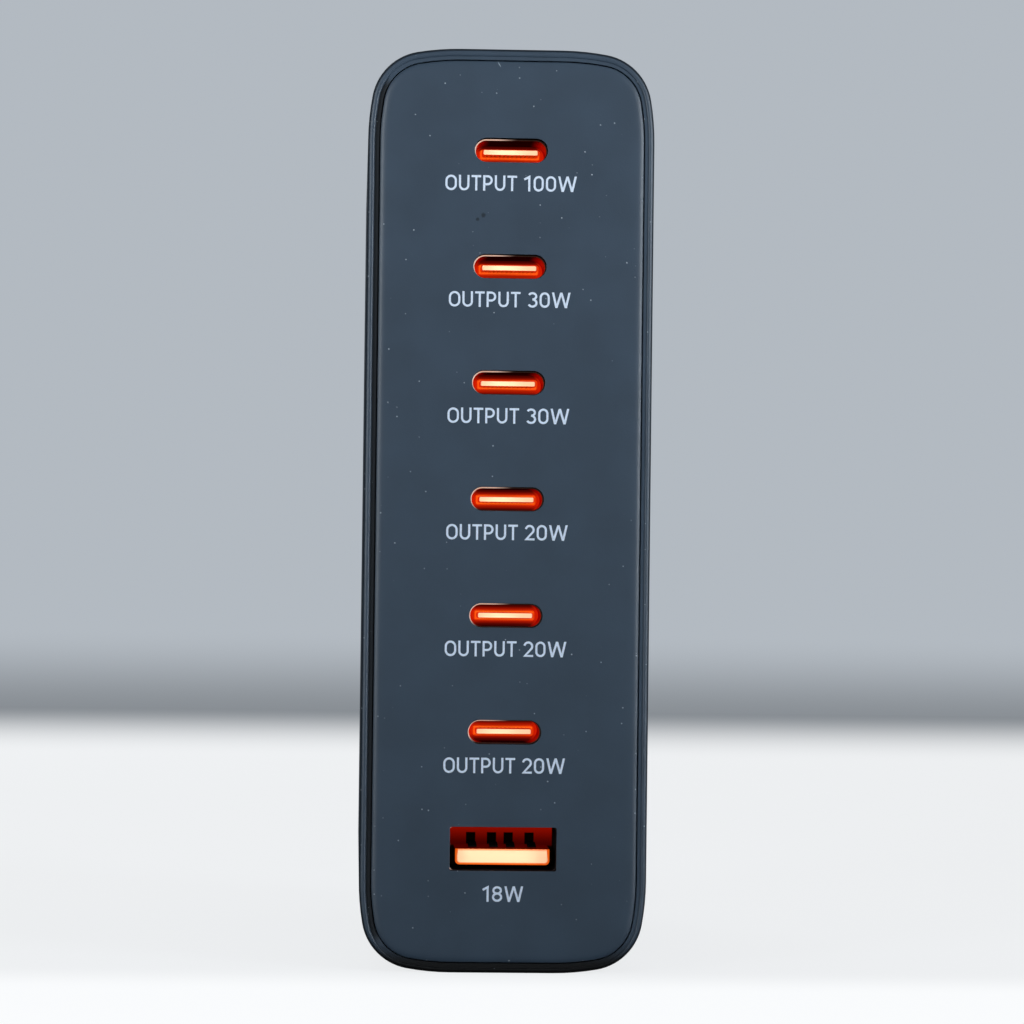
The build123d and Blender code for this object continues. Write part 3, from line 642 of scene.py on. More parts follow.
def body_outline(sizes, inset):
    """Points (x, z) once round the body's outline, moved in by inset; wide arcs ease its corners."""
    half_width = (housing_high.x - housing_low.x) / 2
    half_height = (housing_high.z - housing_low.z) / 2
    lead, quarter = sizes.lead_angle, math.pi / 2
    reach = corner_reach(sizes)
    middle = sizes.lead_radius - (sizes.lead_radius - sizes.corner_radius) * math.cos(lead)
    arcs = (
        (sizes.lead_radius, reach, sizes.lead_radius, 0.0, lead, 4),
        (middle, middle, sizes.corner_radius, lead, quarter - lead, 14),
        (reach, sizes.lead_radius, sizes.lead_radius, quarter - lead, quarter, 4),
    )
    corner = [(half_width - inset, half_height - reach)]
    for from_side, from_top, radius, start, end, steps in arcs:
        for step in range(1, steps + 1):
            angle = start + (end - start) * step / steps
            x = half_width - from_side + (radius - inset) * math.cos(angle)
            z = half_height - from_top + (radius - inset) * math.sin(angle)
            corner.append((x, z))
    back = corner[::-1]
    right = corner + [(-x, z) for x, z in back]
    left = [(-x, -z) for x, z in corner] + [(x, -z) for x, z in back]
    return [(x, half_height + z) for x, z in right + left]


def shifted(points, right, up):
    """Points moved to the right and upwards."""
    return [(x + right, z + up) for x, z in points]


class Skin:
    """A mesh made of rings of points across the body."""

    def __init__(self):
        self.mesh = bmesh.new()

    def ring(self, points, y):
        """One ring at depth y."""
        return [self.mesh.verts.new((x, y, z)) for x, z in points]

    def wrap(self, rings, finish=0):
        """Quads between each ring and the next, in one of the piece's finishes."""
        for first, second in zip(rings, rings[1:]):
            for here in range(len(first)):
                there = (here + 1) % len(first)
                face = self.mesh.faces.new((first[here], first[there], second[there], second[here]))
                face.material_index = finish

    def cap(self, ring):
        """One flat face inside a ring."""
        self.mesh.faces.new(ring)

    def fill(self, rings):
        """Flat faces between an outer ring and the rings inside it."""
        edges = []
        for ring in rings:
            for here, vertex in enumerate(ring):
                pair = (vertex, ring[(here + 1) % len(ring)])
                edges.append(self.mesh.edges.get(pair) or self.mesh.edges.new(pair))
        bmesh.ops.triangle_fill(self.mesh, use_beauty=True, use_dissolve=False, edges=edges)

    def box(self, low, high):
        """A closed box between two corners."""
        middle = Matrix.Translation((Vector(low) + Vector(high)) / 2)
        size = Vector(high) - Vector(low)
        bmesh.ops.create_cube(self.mesh, size=1.0, matrix=middle @ Matrix.Diagonal((*size, 1.0)))

    def strip(self, first, second):
        """Quads between two lines of points."""
        for here in range(len(first) - 1):
            self.mesh.faces.new((first[here], first[here + 1], second[here + 1], second[here]))

    def raise_up(self, way):
        """Give flat faces a thickness."""
        raised = bmesh.ops.extrude_face_region(self.mesh, geom=self.mesh.faces[:], use_keep_orig=True)
        tops = [part for part in raised["geom"] if isinstance(part, bmesh.types.BMVert)]
        bmesh.ops.translate(self.mesh, vec=way, verts=tops)

    def piece(self, name, *materials):
        """Make the object, shade it and set it on the body."""
        bmesh.ops.recalc_face_normals(self.mesh, faces=self.mesh.faces)
        mesh = bpy.data.meshes.new(name)
        self.mesh.to_mesh(mesh)
        self.mesh.free()
        mesh.shade_smooth()
        mesh.set_sharp_from_angle(angle=math.radians(35.0))
        for material in materials:
            mesh.materials.append(material)
        piece = bpy.data.objects.new(name, mesh)
        bpy.context.scene.collection.objects.link(piece)
        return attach(piece, "root")


def dress(material, *names):
    """Give carried-over nodes their finish."""
    for name in names:
        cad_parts[name].material_slots[0].material = material


def middle_of(name):
    """Middle of a node's box."""
    low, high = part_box(name)
    return (low + high) / 2


class ChargerHousing(Operator):
    """Mould the housing with its beaded rim, its softened back edge and the inlet's window"""

    bl_idname = "charger.housing"
    bl_label = "Housing"

    def execute(self, context):
        sizes = context.scene.charger_body
        front_y, back_y = housing_low.y, housing_high.y
        inner_y = back_y - sizes.back_wall
        skin = Skin()

        def ring(inset, y, right=0.0, up=0.0, sink=0.0):
            """The body's outline, moved in by inset, to the right and upwards, at depth y, sunk at the left."""
            turned = skin.ring(shifted(body_outline(sizes, inset), right, up), y)
            for point, (x, _) in zip(turned, body_outline(sizes, 0)):
                left = min(max((housing_low.x + sizes.sink_start - x) / sizes.sink_reach, 0), 1)
                point.co.y += sink * left * left * (3 - 2 * left)
            return turned

        soft = sizes.soft_edge
        ledge_y = front_y + sizes.ledge_depth
        shift = (sizes.shift_x, sizes.shift_z)
        rings = [ring(sizes.wall, inner_y), ring(sizes.wall, seat_y), ring(sizes.rim_width, seat_y, *shift)]
        rings.append(ring(sizes.rim_width, ledge_y + 0.4 * soft, *shift, sizes.ledge_sink))
        rings.append(ring(sizes.rim_width - 0.4 * soft, ledge_y, *shift, sizes.ledge_sink))
        rings.append(ring(sizes.bead + 0.5 * soft, ledge_y, sizes.bead_x, sizes.bead_z, sizes.ledge_sink))
        turns = 7
        for step in range(turns, 0, -1):
            angle = step / turns * math.pi / 2
            inset = sizes.crest + (sizes.bead - sizes.crest) * math.sin(angle)
            y = front_y + sizes.ledge_depth * (1 - math.cos(angle))
            part = 0.5 + 0.5 * math.sin(angle)
            rings.append(ring(inset, y, part * sizes.bead_x, part * sizes.bead_z))
        for step in range(turns + 1):
            angle = step / turns * math.pi / 2
            inset = sizes.crest * (1 - math.sin(angle))
            part = 0.5 - 0.5 * math.sin(angle)
            y = front_y + sizes.outer_drop * (1 - math.cos(angle))
            rings.append(ring(inset, y, part * sizes.bead_x, part * sizes.bead_z))
        bevel, ease = sizes.back_bevel, sizes.bevel_ease
        rings += [ring(0, front_y + 2 * sizes.outer_drop), ring(0, back_y - bevel - 2 * ease)]
        for inset, y in ((0, bevel + ease), (0.1 * ease, bevel + 0.4 * ease), (0.4 * ease, bevel)):
            rings.append(ring(inset, back_y - y))
        for inset, y in ((bevel, 0.4 * ease), (bevel + 0.4 * ease, 0.1 * ease), (bevel + ease, 0)):
            rings.append(ring(inset, back_y - y))
        rings.append(ring(bevel + 2 * ease, back_y))
        skin.wrap(rings)

        middle = middle_of("mains_inlet_body").z

        def window(grow, y):
            """The inlet's window, grown on all sides, at depth y."""
            size = (sizes.window_width + 2 * grow, sizes.window_height + 2 * grow, sizes.window_radius + grow)
            return skin.ring(outline(*size, middle), y)

        hole = [window(2 * soft, back_y), window(soft, back_y), window(0.3 * soft, back_y - 0.3 * soft)]
        hole += [window(0, back_y - soft), window(0, inner_y)]
        skin.wrap(hole)
        skin.fill([rings[-1], hole[0]])
        skin.fill([rings[0], hole[-1]])
        self.rails(skin, sizes, inner_y)
        colours = context.scene.charger_colours
        edge_x, painted_shade_y = (housing_high.x - sizes.housing_dust) / mm, ledge_y + sizes.ledge_shade
        material = slate_plastic("slate_housing", colours, edge_x, painted_shade_y, sizes.foot_shade_height)
        piece = skin.piece("housing_moulding", material)
        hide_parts("main_housing")
        return {"FINISHED"}

    def rails(self, skin, sizes, inner_y):
        """Two grooved rails for the main board's edges."""
        low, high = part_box("main_board")
        play, rib = sizes.rail_clearance, sizes.rail_rib
        start_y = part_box("port_board")[1].y + 5 * play
        for foot, board, grip in (
            (housing_low.z + sizes.wall, low.z - play, low.z + sizes.rail_grip),
            (housing_high.z - sizes.wall, high.z + play, high.z - sizes.rail_grip),
        ):
            for x, end in ((low.x - play - rib, grip), (high.x + play, grip)):
                skin.box((x, start_y, min(foot, end)), (x + rib, inner_y, max(foot, end)))
            skin.box((low.x - play, start_y, min(foot, board)), (high.x + play, inner_y, max(foot, board)))


class ChargerPanel(Operator):
    """Mould the front panel with a rolled edge and its seven openings"""

    bl_idname = "charger.front_panel"
    bl_label = "Front panel"

    def execute(self, context):
        sizes = context.scene.charger_body
        inset = sizes.rim_width + sizes.panel_gap
        face_y = panel_low.y
        skin = Skin()

        def rim(step, y):
            """The panel's outline, moved in by step, at depth y."""
            return skin.ring(shifted(body_outline(sizes, inset + step), sizes.shift_x, sizes.shift_z), y)

        rings = [rim(0, seat_y)]
        rolls = 16
        for roll in range(rolls + 1):
            step = (roll / rolls) ** 2 * sizes.swell_width
            rolled = sizes.roll_depth * max(1 - step / sizes.roll_width, 0) ** sizes.roll_power
            rings.append(rim(step, face_y + rolled + sizes.swell_depth * (1 - step / sizes.swell_width) ** 2))
        skin.wrap(rings)

        backs, fronts = [rings[0]], [rings[-1]]
        for name in [f"usb_c_shell_{number}" for number in small_sockets] + ["usb_a_shell"]:
            hole = self.opening(skin, context, name, face_y)
            backs.append(hole[0])
            fronts.append(hole[-1])
        skin.fill(fronts)
        skin.fill(backs)
        self.ribs(skin, sizes)
        colours = context.scene.charger_colours
        smudge = {"x": -3.22, "z": 88.81, "lean": 0.0, "narrow": 1.0, "radius": 0.32}
        smudge["shade"] = scaled(colours.slate, 0.25)
        second = {**smudge, "x": -3.89, "z": 88.32, "radius": 0.24}
        fibre = {"x": -1.55, "z": 106.6, "lean": 0.55, "narrow": 6.0, "radius": 0.36, "shade": colours.dust}
        edge_x, painted_shade_y = (panel_high.x - sizes.panel_dust) / mm, face_y + sizes.panel_shade
        material = slate_plastic("slate_panel", colours, edge_x, painted_shade_y, spots=(smudge, second, fibre))
        # painted shade: the openings' walls are near-black
        wall = moulded("shaded_opening_wall", colours.opening, 0.8, 0.95, 5.0, 0.005, gloss=0.0)
        piece = skin.piece("panel_moulding", material, wall)
        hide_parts("front_panel")
        return {"FINISHED"}

    def opening(self, skin, context, name, face_y):
        """The rings of the opening in front of one socket, from the back to the face."""
        sizes = context.scene.charger_body
        low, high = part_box(name)
        small = name != "usb_a_shell"
        margin = (sizes.hole_margin if small else 0.0) - context.scene.charger_sockets.shell_wall
        width = high.x - low.x + 2 * margin
        height = high.z - low.z + 2 * margin
        radius = height / 2 - hair if small else sizes.large_corner
        middle = (low.z + high.z) / 2
        edge = sizes.hole_edge
        rings = []
        for grow, y in ((0, seat_y), (0, face_y + edge), (0.3 * edge, face_y + 0.3 * edge), (edge, face_y)):
            rings.append(skin.ring(outline(width + 2 * grow, height + 2 * grow, radius + grow, middle), y))
        grow = 2.2 * edge
        rings.append(skin.ring(outline(width + 2 * grow, height + 2 * grow, radius + grow, middle), face_y))
        # the openings' walls take the near-black painted shade
        skin.wrap(rings[:2], 1)
        skin.wrap(rings[1:])
        return rings

    def ribs(self, skin, sizes):
        """Four ribs that centre the panel in the housing."""
        reach = sizes.wall + sizes.rail_clearance
        end = corner_reach(sizes) + sizes.rib_end_gap
        thick, back_y = sizes.rib_thickness, seat_y + sizes.rib_depth
        low, high = housing_low, housing_high
        for x in (low.x + reach, high.x - reach - thick):
            skin.box((x, seat_y, low.z + end), (x + thick, back_y, high.z - end))
        for z in (low.z + reach, high.z - reach - thick):
            skin.box((low.x + end, seat_y, z), (high.x - end, back_y, z + thick))


class ChargerSmallSockets(Operator):
    """Mould the small sockets' tongues, plate their pads and finish their shells"""

    bl_idname = "charger.small_sockets"
    bl_label = "Small sockets"

    def execute(self, context):
        sizes = context.scene.charger_sockets
        colours = context.scene.charger_colours
        root_y = seat_y + sizes.floor_depth - sizes.collar_length
        tip_y = seat_y + sizes.tip_depth
        first_z = middle_of("usb_c_shell_1").z
        pitch = first_z - middle_of("usb_c_shell_2").z
        orange = orange_small(colours, sizes, tip_y, root_y, first_z, pitch)
        gold = plated("plated_pad", colours.gold, 0.18, 0.32)
        for number in small_sockets:
            low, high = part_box(f"usb_c_shell_{number}")
            self.tongue(sizes, orange, number, low, high)
            self.pads(sizes, gold, number, (low.z + high.z) / 2, root_y)
        inside, ends = colours.painted_steel_inside, colours.painted_steel_ends
        steel = drawn_steel("steel_small_shell", colours, seat_y, inside, ends, first_z, pitch)
        dress(steel, *[f"usb_c_shell_{number}" for number in small_sockets])
        return {"FINISHED"}

    def tongue(self, sizes, material, number, low, high):
        """One insulator: floor block, collar and tongue."""
        middle = (low.z + high.z) / 2
        inset = sizes.shell_wall + sizes.block_gap
        floor_y = low.y + sizes.floor_depth
        root_y = floor_y - sizes.collar_length
        tip_y = low.y + sizes.tip_depth
        step, ease, corner = sizes.collar_step, sizes.ease, sizes.tip_corner
        skin = Skin()

        def block(y):
            """A ring of the floor block."""
            width, height = high.x - low.x - 2 * inset, high.z - low.z - 2 * inset
            return skin.ring(outline(width, height, height / 2 - hair, middle), y)

        def neck(grow, ends, radius, y):
            """A ring of the collar or the tongue: grown all round, and drawn in at its ends."""
            width = sizes.tongue_width + 2 * (grow - ends)
            return skin.ring(outline(width, sizes.tongue_thickness + 2 * grow, radius, middle), y)

        rings = [block(high.y), block(floor_y)]
        for eased, y in ((0, floor_y), (0, root_y + ease), (0.3 * ease, root_y + 0.3 * ease), (ease, root_y)):
            rings.append(neck(step - eased, 0, sizes.collar_round - eased, y))
        rings.append(neck(0, 0, sizes.tongue_round, root_y))
        turns = 4
        for turned in range(turns + 1):
            angle = turned / turns * math.pi / 2
            drawn = 1 - math.cos(angle)
            y = tip_y + corner * (1 - math.sin(angle))
            rings.append(neck(-ease * drawn, corner * drawn, sizes.tongue_round - ease * drawn, y))
        skin.wrap(rings)
        skin.cap(rings[0])
        skin.cap(rings[-1])
        piece = skin.piece(f"usb_c_tongue_{number}", material)
        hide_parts(f"usb_c_insulator_{number}")

    def pads(self, sizes, material, number, middle, root_y):
        """The contact pads on both sides of one tongue."""
        skin = Skin()
        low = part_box(f"usb_c_contacts_{number}")[0]
        half = sizes.tongue_thickness / 2
        for place in range(sizes.pad_count):
            left = (place - (sizes.pad_count - 1) / 2) * sizes.pad_pitch - sizes.pad_width / 2
            for side in (-1, 1):
                ends = sorted((middle + side * (half - sizes.pad_rise), middle + side * (half + sizes.pad_rise)))
                skin.box((left, low.y, ends[0]), (left + sizes.pad_width, root_y, ends[1]))
        piece = skin.piece(f"usb_c_pads_{number}", material)
        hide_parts(f"usb_c_contacts_{number}")


class ChargerLargeSocket(Operator):
    """Finish the large socket's shell, tongue and contacts"""

    bl_idname = "charger.large_socket"
    bl_label = "Large socket"

    def execute(self, context):
        colours = context.scene.charger_colours
        sizes = context.scene.charger_sockets
        low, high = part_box("usb_a_insulator")
        floor_y = low.y + sizes.large_reach
        top_z = (low.z + high.z) / 2 - sizes.large_drop
        self.tongue(sizes, orange_large(colours, low.y, floor_y, top_z, high.z), low, high, floor_y, top_z)
        middle, height = middle_of("usb_a_shell").z, high.z - low.z
        inside = colours.painted_steel_large
        dress(drawn_steel("steel_large_shell", colours, seat_y, inside, inside, middle, 2 * height), "usb_a_shell")
        # painted shade: the sprung contacts are near-black
        dress(moulded("shaded_spring", colours.spring, 0.8, 0.95, 5.0, 0.005, gloss=0.0), "usb_a_contacts")
        return {"FINISHED"}

    def tongue(self, sizes, material, low, high, floor_y, top_z):
        """The large insulator: a block with four slots in its floor, and a thick tongue with a bevelled nose."""
        skin = Skin()
        corner, bevel = sizes.large_round, sizes.large_bevel

        def block(y):
            """A ring of the floor block."""
            return skin.ring(outline(high.x - low.x, high.z - low.z, corner, (low.z + high.z) / 2), y)

        def nose(drawn, y):
            """A ring of the tongue, drawn in at its ends and below; its upper corners stay square."""
            half = sizes.large_width / 2 - drawn
            foot = top_z - sizes.large_thickness + drawn
            points = outline(2 * half, 2 * (top_z - foot), corner, top_z)
            return skin.ring([(half, top_z), (-half, top_z)] + points[len(points) // 2 :], y)

        rings = [block(high.y), block(floor_y)]
        skin.wrap(rings)
        skin.cap(rings[0])
        tongue = [nose(0, floor_y), nose(0, low.y + bevel)]
        tongue += [nose(0.3 * bevel, low.y + 0.5 * bevel), nose(bevel, low.y)]
        skin.wrap(tongue)
        skin.cap(tongue[-1])
        loops = [rings[-1], tongue[0]]
        for spacing in (sizes.outer_slots, sizes.inner_slots):
            for x in (-spacing / 2, spacing / 2):
                half, foot, top = sizes.slot_width / 2, top_z + sizes.slot_lift, top_z + sizes.slot_height
                corners = [(x - half, foot), (x + half, foot), (x + half, top), (x - half, top)]
                slot = [skin.ring(corners, floor_y), skin.ring(corners, floor_y + sizes.slot_depth)]
                skin.wrap(slot)
                skin.cap(slot[-1])
                loops.append(slot[0])
        skin.fill(loops)
        piece = skin.piece("usb_a_tongue", material)
        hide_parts("usb_a_insulator")


def arc(x, y, width, height, start, end, steps=12):
    """Points along an ellipse's arc, with its angles in degrees."""
    points = []
    for step in range(steps + 1):
        angle = math.radians(start + (end - start) * step / steps)
        points.append((x + width * math.cos(angle), y + height * math.sin(angle)))
    return points


def letter(sign, stroke):
    """Width of a letter of height 1, the paths of its strokes, and the corners of its solid parts."""
    edge = stroke / 2
    if sign in "O0":
        width = 0.74 if sign == "O" else 0.66
        round_x = width / 2 - edge
        top = arc(width / 2, 1 - edge - round_x, round_x, round_x, 0, 180)
        bottom = arc(width / 2, edge + round_x, round_x, round_x, 180, 360)
        return width, [top + bottom + top[:1]], []
    if sign == "U":
        width = 0.68
        round_x = width / 2 - edge
        bowl = arc(width / 2, edge + round_x, round_x, round_x, 180, 360)
        return width, [[(edge, 1)] + bowl + [(width - edge, 1)]], []
    if sign == "T":
        width = 0.62
        return width, [[(0, 1 - edge), (width, 1 - edge)], [(width / 2, 0), (width / 2, 1 - stroke)]], []
    if sign == "P":
        width, waist = 0.62, 0.42
        round_y = (1 - edge - waist) / 2
        bowl = arc(width - edge - round_y, waist + round_y, round_y, round_y, 90, -90)
        return width, [[(edge, 0), (edge, 1)], [(stroke, 1 - edge)] + bowl + [(stroke, waist)]], []
    if sign == "1":
        width, stem = 0.50, 0.42
        return width, [[(0.03, 0.76), (stem - edge, 1 - edge), (stem - edge, 0)]], []
    if sign == "2":
        width = 0.64
        round_x = width / 2 - edge
        top = arc(width / 2, 1 - edge - round_x, round_x, round_x, 170, -35)
        return width, [top + [(edge + 0.04, edge), (width, edge)]], []
    if sign in "38":
        width, waist = 0.66, 0.53
        middle = width / 2
        high = (1 - edge - waist) / 2
        low = (waist - edge) / 2
        reach = 360 if sign == "8" else 245
        upper = arc(middle, waist + high, middle - edge - 0.02, high, reach - 90, -90, 20)
        lower = arc(middle, waist - low, middle - edge, low, 90, 90 - reach, 20)
        return width, [upper, lower], []
    if sign == "W":
        width, foot, thick = 1.21, 0.23, 1.04 * stroke
        middle = width / 2
        notch = thick / (middle - thick / 2)
        crotch = (middle - foot - thick) / (middle - foot - thick / 2)
        left = foot + (middle - thick / 2 - foot) * notch
        half = [(middle - thick / 2, 1), (left, notch), (thick, 1), (0, 1), (foot, 0), (foot + thick, 0)]
        other = [(width - x, y) for x, y in half[::-1]]
        return width, [], [half + [(middle, crotch)] + other]
    return 0.18, [], []


class ChargerMarks(Operator):
    """Print the output marks under the sockets"""

    bl_idname = "charger.marks"
    bl_label = "Printed marks"

    def execute(self, context):
        sizes = context.scene.charger_print
        ink = printed_ink(context.scene.charger_colours)
        words = ["OUTPUT 100W", "OUTPUT 30W", "OUTPUT 30W", "OUTPUT 20W", "OUTPUT 20W", "OUTPUT 20W"]
        for number, text in zip(small_sockets, words):
            self.mark(sizes, ink, f"mark_{number}", text, middle_of(f"usb_c_shell_{number}").z - sizes.small_drop)
        self.mark(sizes, ink, "mark_7", "18W", middle_of("usb_a_shell").z - sizes.large_drop)
        return {"FINISHED"}

    def mark(self, sizes, ink, name, text, height):
        """One line of print, centred at a height on the panel."""
        tall = sizes.letter_height
        letters = [letter(sign, sizes.stroke / tall) for sign in text]
        gap = sizes.letter_gap / tall
        start = -(sum(width for width, _, _ in letters) + gap * (len(letters) - 1)) / 2
        skin = Skin()

        def set_down(points, layer=0):
            """Points of a letter, set on the panel's face; a second stroke lies a little higher."""
            places = [((start + x) * tall, height + (y - 0.5) * tall) for x, y in points]
            return skin.ring(places, panel_low.y - 0.25 * layer * sizes.ink_thickness)

        for width, paths, solids in letters:
            for layer, path in enumerate(paths):
                left, right, closed = beside(path, sizes.stroke / tall / 2)
                lines = [set_down(left, layer), set_down(right, layer)]
                if closed:
                    skin.wrap(lines)
                else:
                    skin.strip(*lines)
            for solid in solids:
                skin.fill([set_down(solid)])
            start += width + gap
        skin.raise_up(Vector((0, -sizes.ink_thickness, 0)))
        skin.piece(name, ink)


def beside(path, offset):
    """The two lines beside a path, with mitred corners, and whether the path ends where it starts."""
    closed = math.dist(path[0], path[-1]) < 1e-6
    points = path[:-1] if closed else path
    left, right = [], []
    for here, (x, y) in enumerate(points):
        before = points[here - 1] if here or closed else None
        after = points[(here + 1) % len(points)] if here + 1 < len(points) or closed else None
        ways = []
        for start, end in ((before, (x, y)), ((x, y), after)):
            if start and end and math.dist(start, end) > 1e-9:
                ways.append(Vector((end[0] - start[0], end[1] - start[1])).normalized())
        way = sum(ways, Vector((0, 0))).normalized()
        miter = offset / max(way.dot(ways[0]), 0.5)
        left.append((x - way.y * miter, y + way.x * miter))
        right.append((x + way.y * miter, y - way.x * miter))
    return left, right, closed


class ChargerInlet(Operator):
    """Finish the mains inlet and its pins"""

    bl_idname = "charger.inlet"
    bl_label = "Mains inlet"

    def execute(self, context):
        colours = context.scene.charger_colours
        dress(moulded("black_inlet", colours.inlet, 0.38, 0.52, 8.0, 0.01), "mains_inlet_body")
        dress(plated("nickel_pin", colours.nickel, 0.16, 0.3), "mains_inlet_pins")
        return {"FINISHED"}


class ChargerInside(Operator):
    """Finish the boards and components inside"""

    bl_idname = "charger.inside"
    bl_label = "Inside"

    def execute(self, context):
        dress(board_mask(), "port_board", "main_board")
        pressed = moulded("pressed_powder", (0.10, 0.10, 0.11), 0.55, 0.75, 5.0, 0.03)
        dress(pressed, *[f"converter_inductor_{number}" for number in converters])
        case = moulded("black_case", (0.03, 0.03, 0.035), 0.40, 0.55, 7.0, 0.012)
        dress(case, "fuse", "bridge_rectifier", *[f"converter_capacitor_{number}" for number in converters])
        sleeve = moulded("shrunk_sleeve", (0.05, 0.06, 0.10), 0.20, 0.34, 2.0, 0.02)
        dress(sleeve, "bulk_capacitor_1", "bulk_capacitor_2")
        ferrite = moulded("ground_ferrite", (0.06, 0.06, 0.065), 0.45, 0.62, 4.0, 0.03)
        dress(ferrite, "transformer_core", "boost_inductor_core", "choke_core")
        dress(banded("amber_tape", (0.62, 0.45, 0.08), (0.40, 0.26, 0.04), 1.2, "X", 0.25, 0.4), "transformer_coil")
        wire = banded("coil_wire", (0.62, 0.30, 0.14), (0.20, 0.08, 0.03), 0.5, "X", 0.25, 0.4)
        dress(wire, "boost_inductor_coil")
        dress(banded("choke_wire", (0.62, 0.30, 0.14), (0.20, 0.08, 0.03), 0.5, "Z", 0.25, 0.4), "choke_coils")
        dress(moulded("soft_pad", (0.45, 0.55, 0.65), 0.7, 0.85, 3.0, 0.04), "transformer_pad", "boost_inductor_pad")
        dress(moulded("yellow_case", (0.80, 0.62, 0.05), 0.28, 0.4, 5.0, 0.01), "suppression_capacitor")
        dress(moulded("blue_coat", (0.08, 0.16, 0.45), 0.3, 0.5, 1.5, 0.05), "varistor")
        dress(moulded("bare_copper", (0.72, 0.38, 0.22), 0.25, 0.4, 5.0, 0.01, 1.0), "neutral_strap", "live_strap")
        dress(moulded("plain_aluminium", (0.78, 0.79, 0.80), 0.3, 0.45, 4.0, 0.01, 1.0), "heat_spreader")
        dress(moulded("milky_film", (0.70, 0.70, 0.68), 0.25, 0.4, 1.0, 0.02), "insulation_sheet")
        return {"FINISHED"}


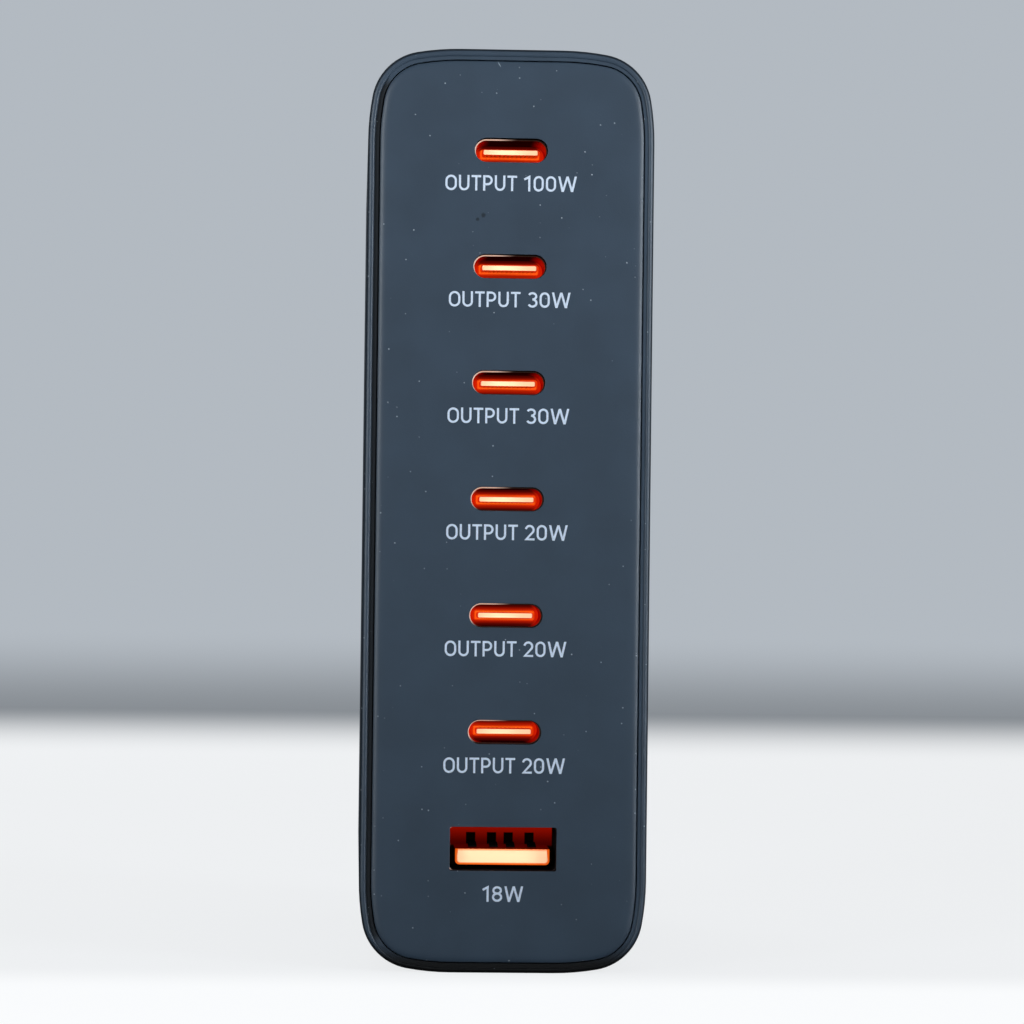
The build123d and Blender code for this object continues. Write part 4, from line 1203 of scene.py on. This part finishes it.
class ChargerStage(Operator):
    """Lay the floor and set the backdrop, lamps and camera"""

    bl_idname = "charger.stage"
    bl_label = "Studio"

    def execute(self, context):
        studio = context.scene.charger_studio
        self.floor(studio)
        self.backdrop(context.scene, studio)
        self.lamps(studio)
        self.camera(context.scene, studio)
        context.scene.view_settings.view_transform = "Standard"
        return {"FINISHED"}

    def floor(self, studio):
        """A plain floor that keeps the part's shadow."""
        shape = bmesh.new()
        side, front, back = studio.floor_side, -studio.floor_front, studio.floor_back
        corners = [(-side, front), (side, front), (side, back), (-side, back)]
        shape.faces.new([shape.verts.new((x, y, 0.0)) for x, y in corners])
        mesh = bpy.data.meshes.new("floor")
        shape.to_mesh(mesh)
        shape.free()
        finish = new_finish("plain_floor")
        point = finish.place()
        depth = finish.parts(point, "Y") * mm
        grain = finish.noise(point, 0.02, 3.0)
        tint = finish.uneven(grain, 0.3, 0.7, studio.floor, 0.985)
        seen = finish.node("ShaderNodeLightPath", output="Is Camera Ray")
        matt = finish.node("ShaderNodeBsdfPrincipled", None, {"Base Color": tint, "Roughness": 0.9})
        lit = finish.node("ShaderNodeEmission", None, {"Color": opaque(studio.floor), "Strength": 1.0})
        front_y = housing_low.y
        even = finish.span(depth, front_y - 20 * mm, front_y + 5 * mm, studio.lit_front, studio.lit_behind)
        plain = finish.mix(even, matt, lit)
        # the floor's far edge fades into the backdrop's painted shade
        foot = opaque(scaled(studio.backdrop, studio.foot))
        far = finish.node("ShaderNodeEmission", None, {"Color": foot, "Strength": 1.0})
        fade = finish.span(depth, back - studio.floor_fade, back)
        shown = finish.mix(fade, plain, far)
        dim = finish.node("ShaderNodeBsdfDiffuse", None, {"Color": opaque(scaled(studio.floor, studio.bounce))})
        mixed = finish.mix(seen, dim, shown)
        finish.node("ShaderNodeOutputMaterial", None, {"Surface": mixed})
        mesh.materials.append(finish.owner)
        floor = bpy.data.objects.new("floor", mesh)
        bpy.context.scene.collection.objects.link(floor)

    def backdrop(self, scene, studio):
        """Light from all round, and a pale backdrop where it is seen, with painted shade at its foot."""
        scene.world = bpy.data.worlds.new("studio")
        finish = Finish(scene.world)
        seen = finish.node("ShaderNodeLightPath", output="Is Camera Ray")
        mirrored = seen.other("Is Glossy Ray")
        way = finish.node("ShaderNodeTexCoord", output="Generated")
        level = finish.parts(way, "Z")

        def light(tint, strength):
            """Light of one colour from everywhere."""
            return finish.node("ShaderNodeBackground", None, {"Color": opaque(tint), "Strength": strength})

        # painted shade at the backdrop's foot
        foot, high = light(studio.backdrop, studio.foot), light(studio.backdrop, 1.0)
        wall = finish.mix(finish.span(level, studio.foot_low, studio.foot_high), foot, high)
        sky, room = light(studio.sky_colour, studio.sky), light(studio.backdrop, studio.surround)
        around = finish.mix(mirrored, sky, room)
        mixed = finish.mix(seen, around, wall)
        finish.node("ShaderNodeOutputWorld", None, {"Surface": mixed})

    def lamps(self, studio):
        """A lamp above, one at each side, aimed a little high, and one behind."""
        for name, place, aim, size, spread, power in (
            ("key_lamp", (0.06, -0.27, 0.36), 0.05, 0.18, math.pi, studio.key_power),
            ("left_lamp", (-0.43, -0.54, 0.15), studio.aim, 0.20, studio.spread, studio.left_power),
            ("right_lamp", (0.48, -0.43, 0.17), studio.aim, 0.24, studio.spread, studio.right_power),
            ("back_lamp", (-0.25, 0.75, 0.45), 0.05, 0.45, math.pi, studio.back_power),
        ):
            target = Vector((0, housing_low.y, aim))
            lamp = bpy.data.lights.new(name, "AREA")
            lamp.shape = "SQUARE"
            lamp.size = size
            lamp.spread = spread
            lamp.energy = power
            lamp.color = studio.lamp
            stand = bpy.data.objects.new(name, lamp)
            stand.location = place
            stand.rotation_euler = (target - Vector(place)).to_track_quat("-Z", "Y").to_euler()
            bpy.context.scene.collection.objects.link(stand)

    def camera(self, scene, studio):
        """A camera in front, turned as the sizes say."""
        yaw, pitch, roll = studio.camera_yaw, studio.camera_pitch, studio.camera_roll
        data = bpy.data.cameras.new("camera")
        data.lens = studio.camera_lens
        data.sensor_width = 36.0
        data.clip_start = 0.01
        data.clip_end = 50.0
        camera = bpy.data.objects.new("camera", data)
        upright = Matrix.Rotation(yaw, 4, "Z") @ Matrix.Rotation(math.pi / 2 + pitch, 4, "X")
        place = Matrix.Translation((studio.camera_x, housing_low.y - studio.camera_distance, studio.camera_height))
        camera.matrix_world = place @ upright @ Matrix.Rotation(roll, 4, "Z")
        scene.collection.objects.link(camera)
        scene.camera = camera


class ChargerSidebar(Panel):
    """Buttons for each piece of the charger"""

    bl_idname = "CHARGER_PT_sidebar"
    bl_label = "Desktop charger"
    bl_space_type = "VIEW_3D"
    bl_region_type = "UI"
    bl_category = "Charger"

    def draw(self, context):
        for step in steps:
            self.layout.operator(step.bl_idname)


groups = {
    "charger_body": ChargerBodySizes,
    "charger_sockets": ChargerSocketSizes,
    "charger_print": ChargerPrintSizes,
    "charger_colours": ChargerColours,
    "charger_studio": ChargerStudio,
}
steps = (
    ChargerHousing,
    ChargerPanel,
    ChargerSmallSockets,
    ChargerLargeSocket,
    ChargerMarks,
    ChargerInlet,
    ChargerInside,
    ChargerStage,
)


def register():
    """Add the classes and their settings."""
    for made in (*groups.values(), *steps, ChargerSidebar):
        bpy.utils.register_class(made)
    for name, group in groups.items():
        setattr(bpy.types.Scene, name, PointerProperty(type=group))


def unregister():
    """Take the classes and their settings away again."""
    for name in groups:
        delattr(bpy.types.Scene, name)
    for made in (ChargerSidebar, *reversed(steps), *reversed(groups.values())):
        bpy.utils.unregister_class(made)


def main():
    """Register the classes and build every piece in order."""
    register()
    bpy.ops.charger.housing()
    bpy.ops.charger.front_panel()
    bpy.ops.charger.small_sockets()
    bpy.ops.charger.large_socket()
    bpy.ops.charger.marks()
    bpy.ops.charger.inlet()
    bpy.ops.charger.inside()
    bpy.ops.charger.stage()


if __name__ == "__main__":
    main()
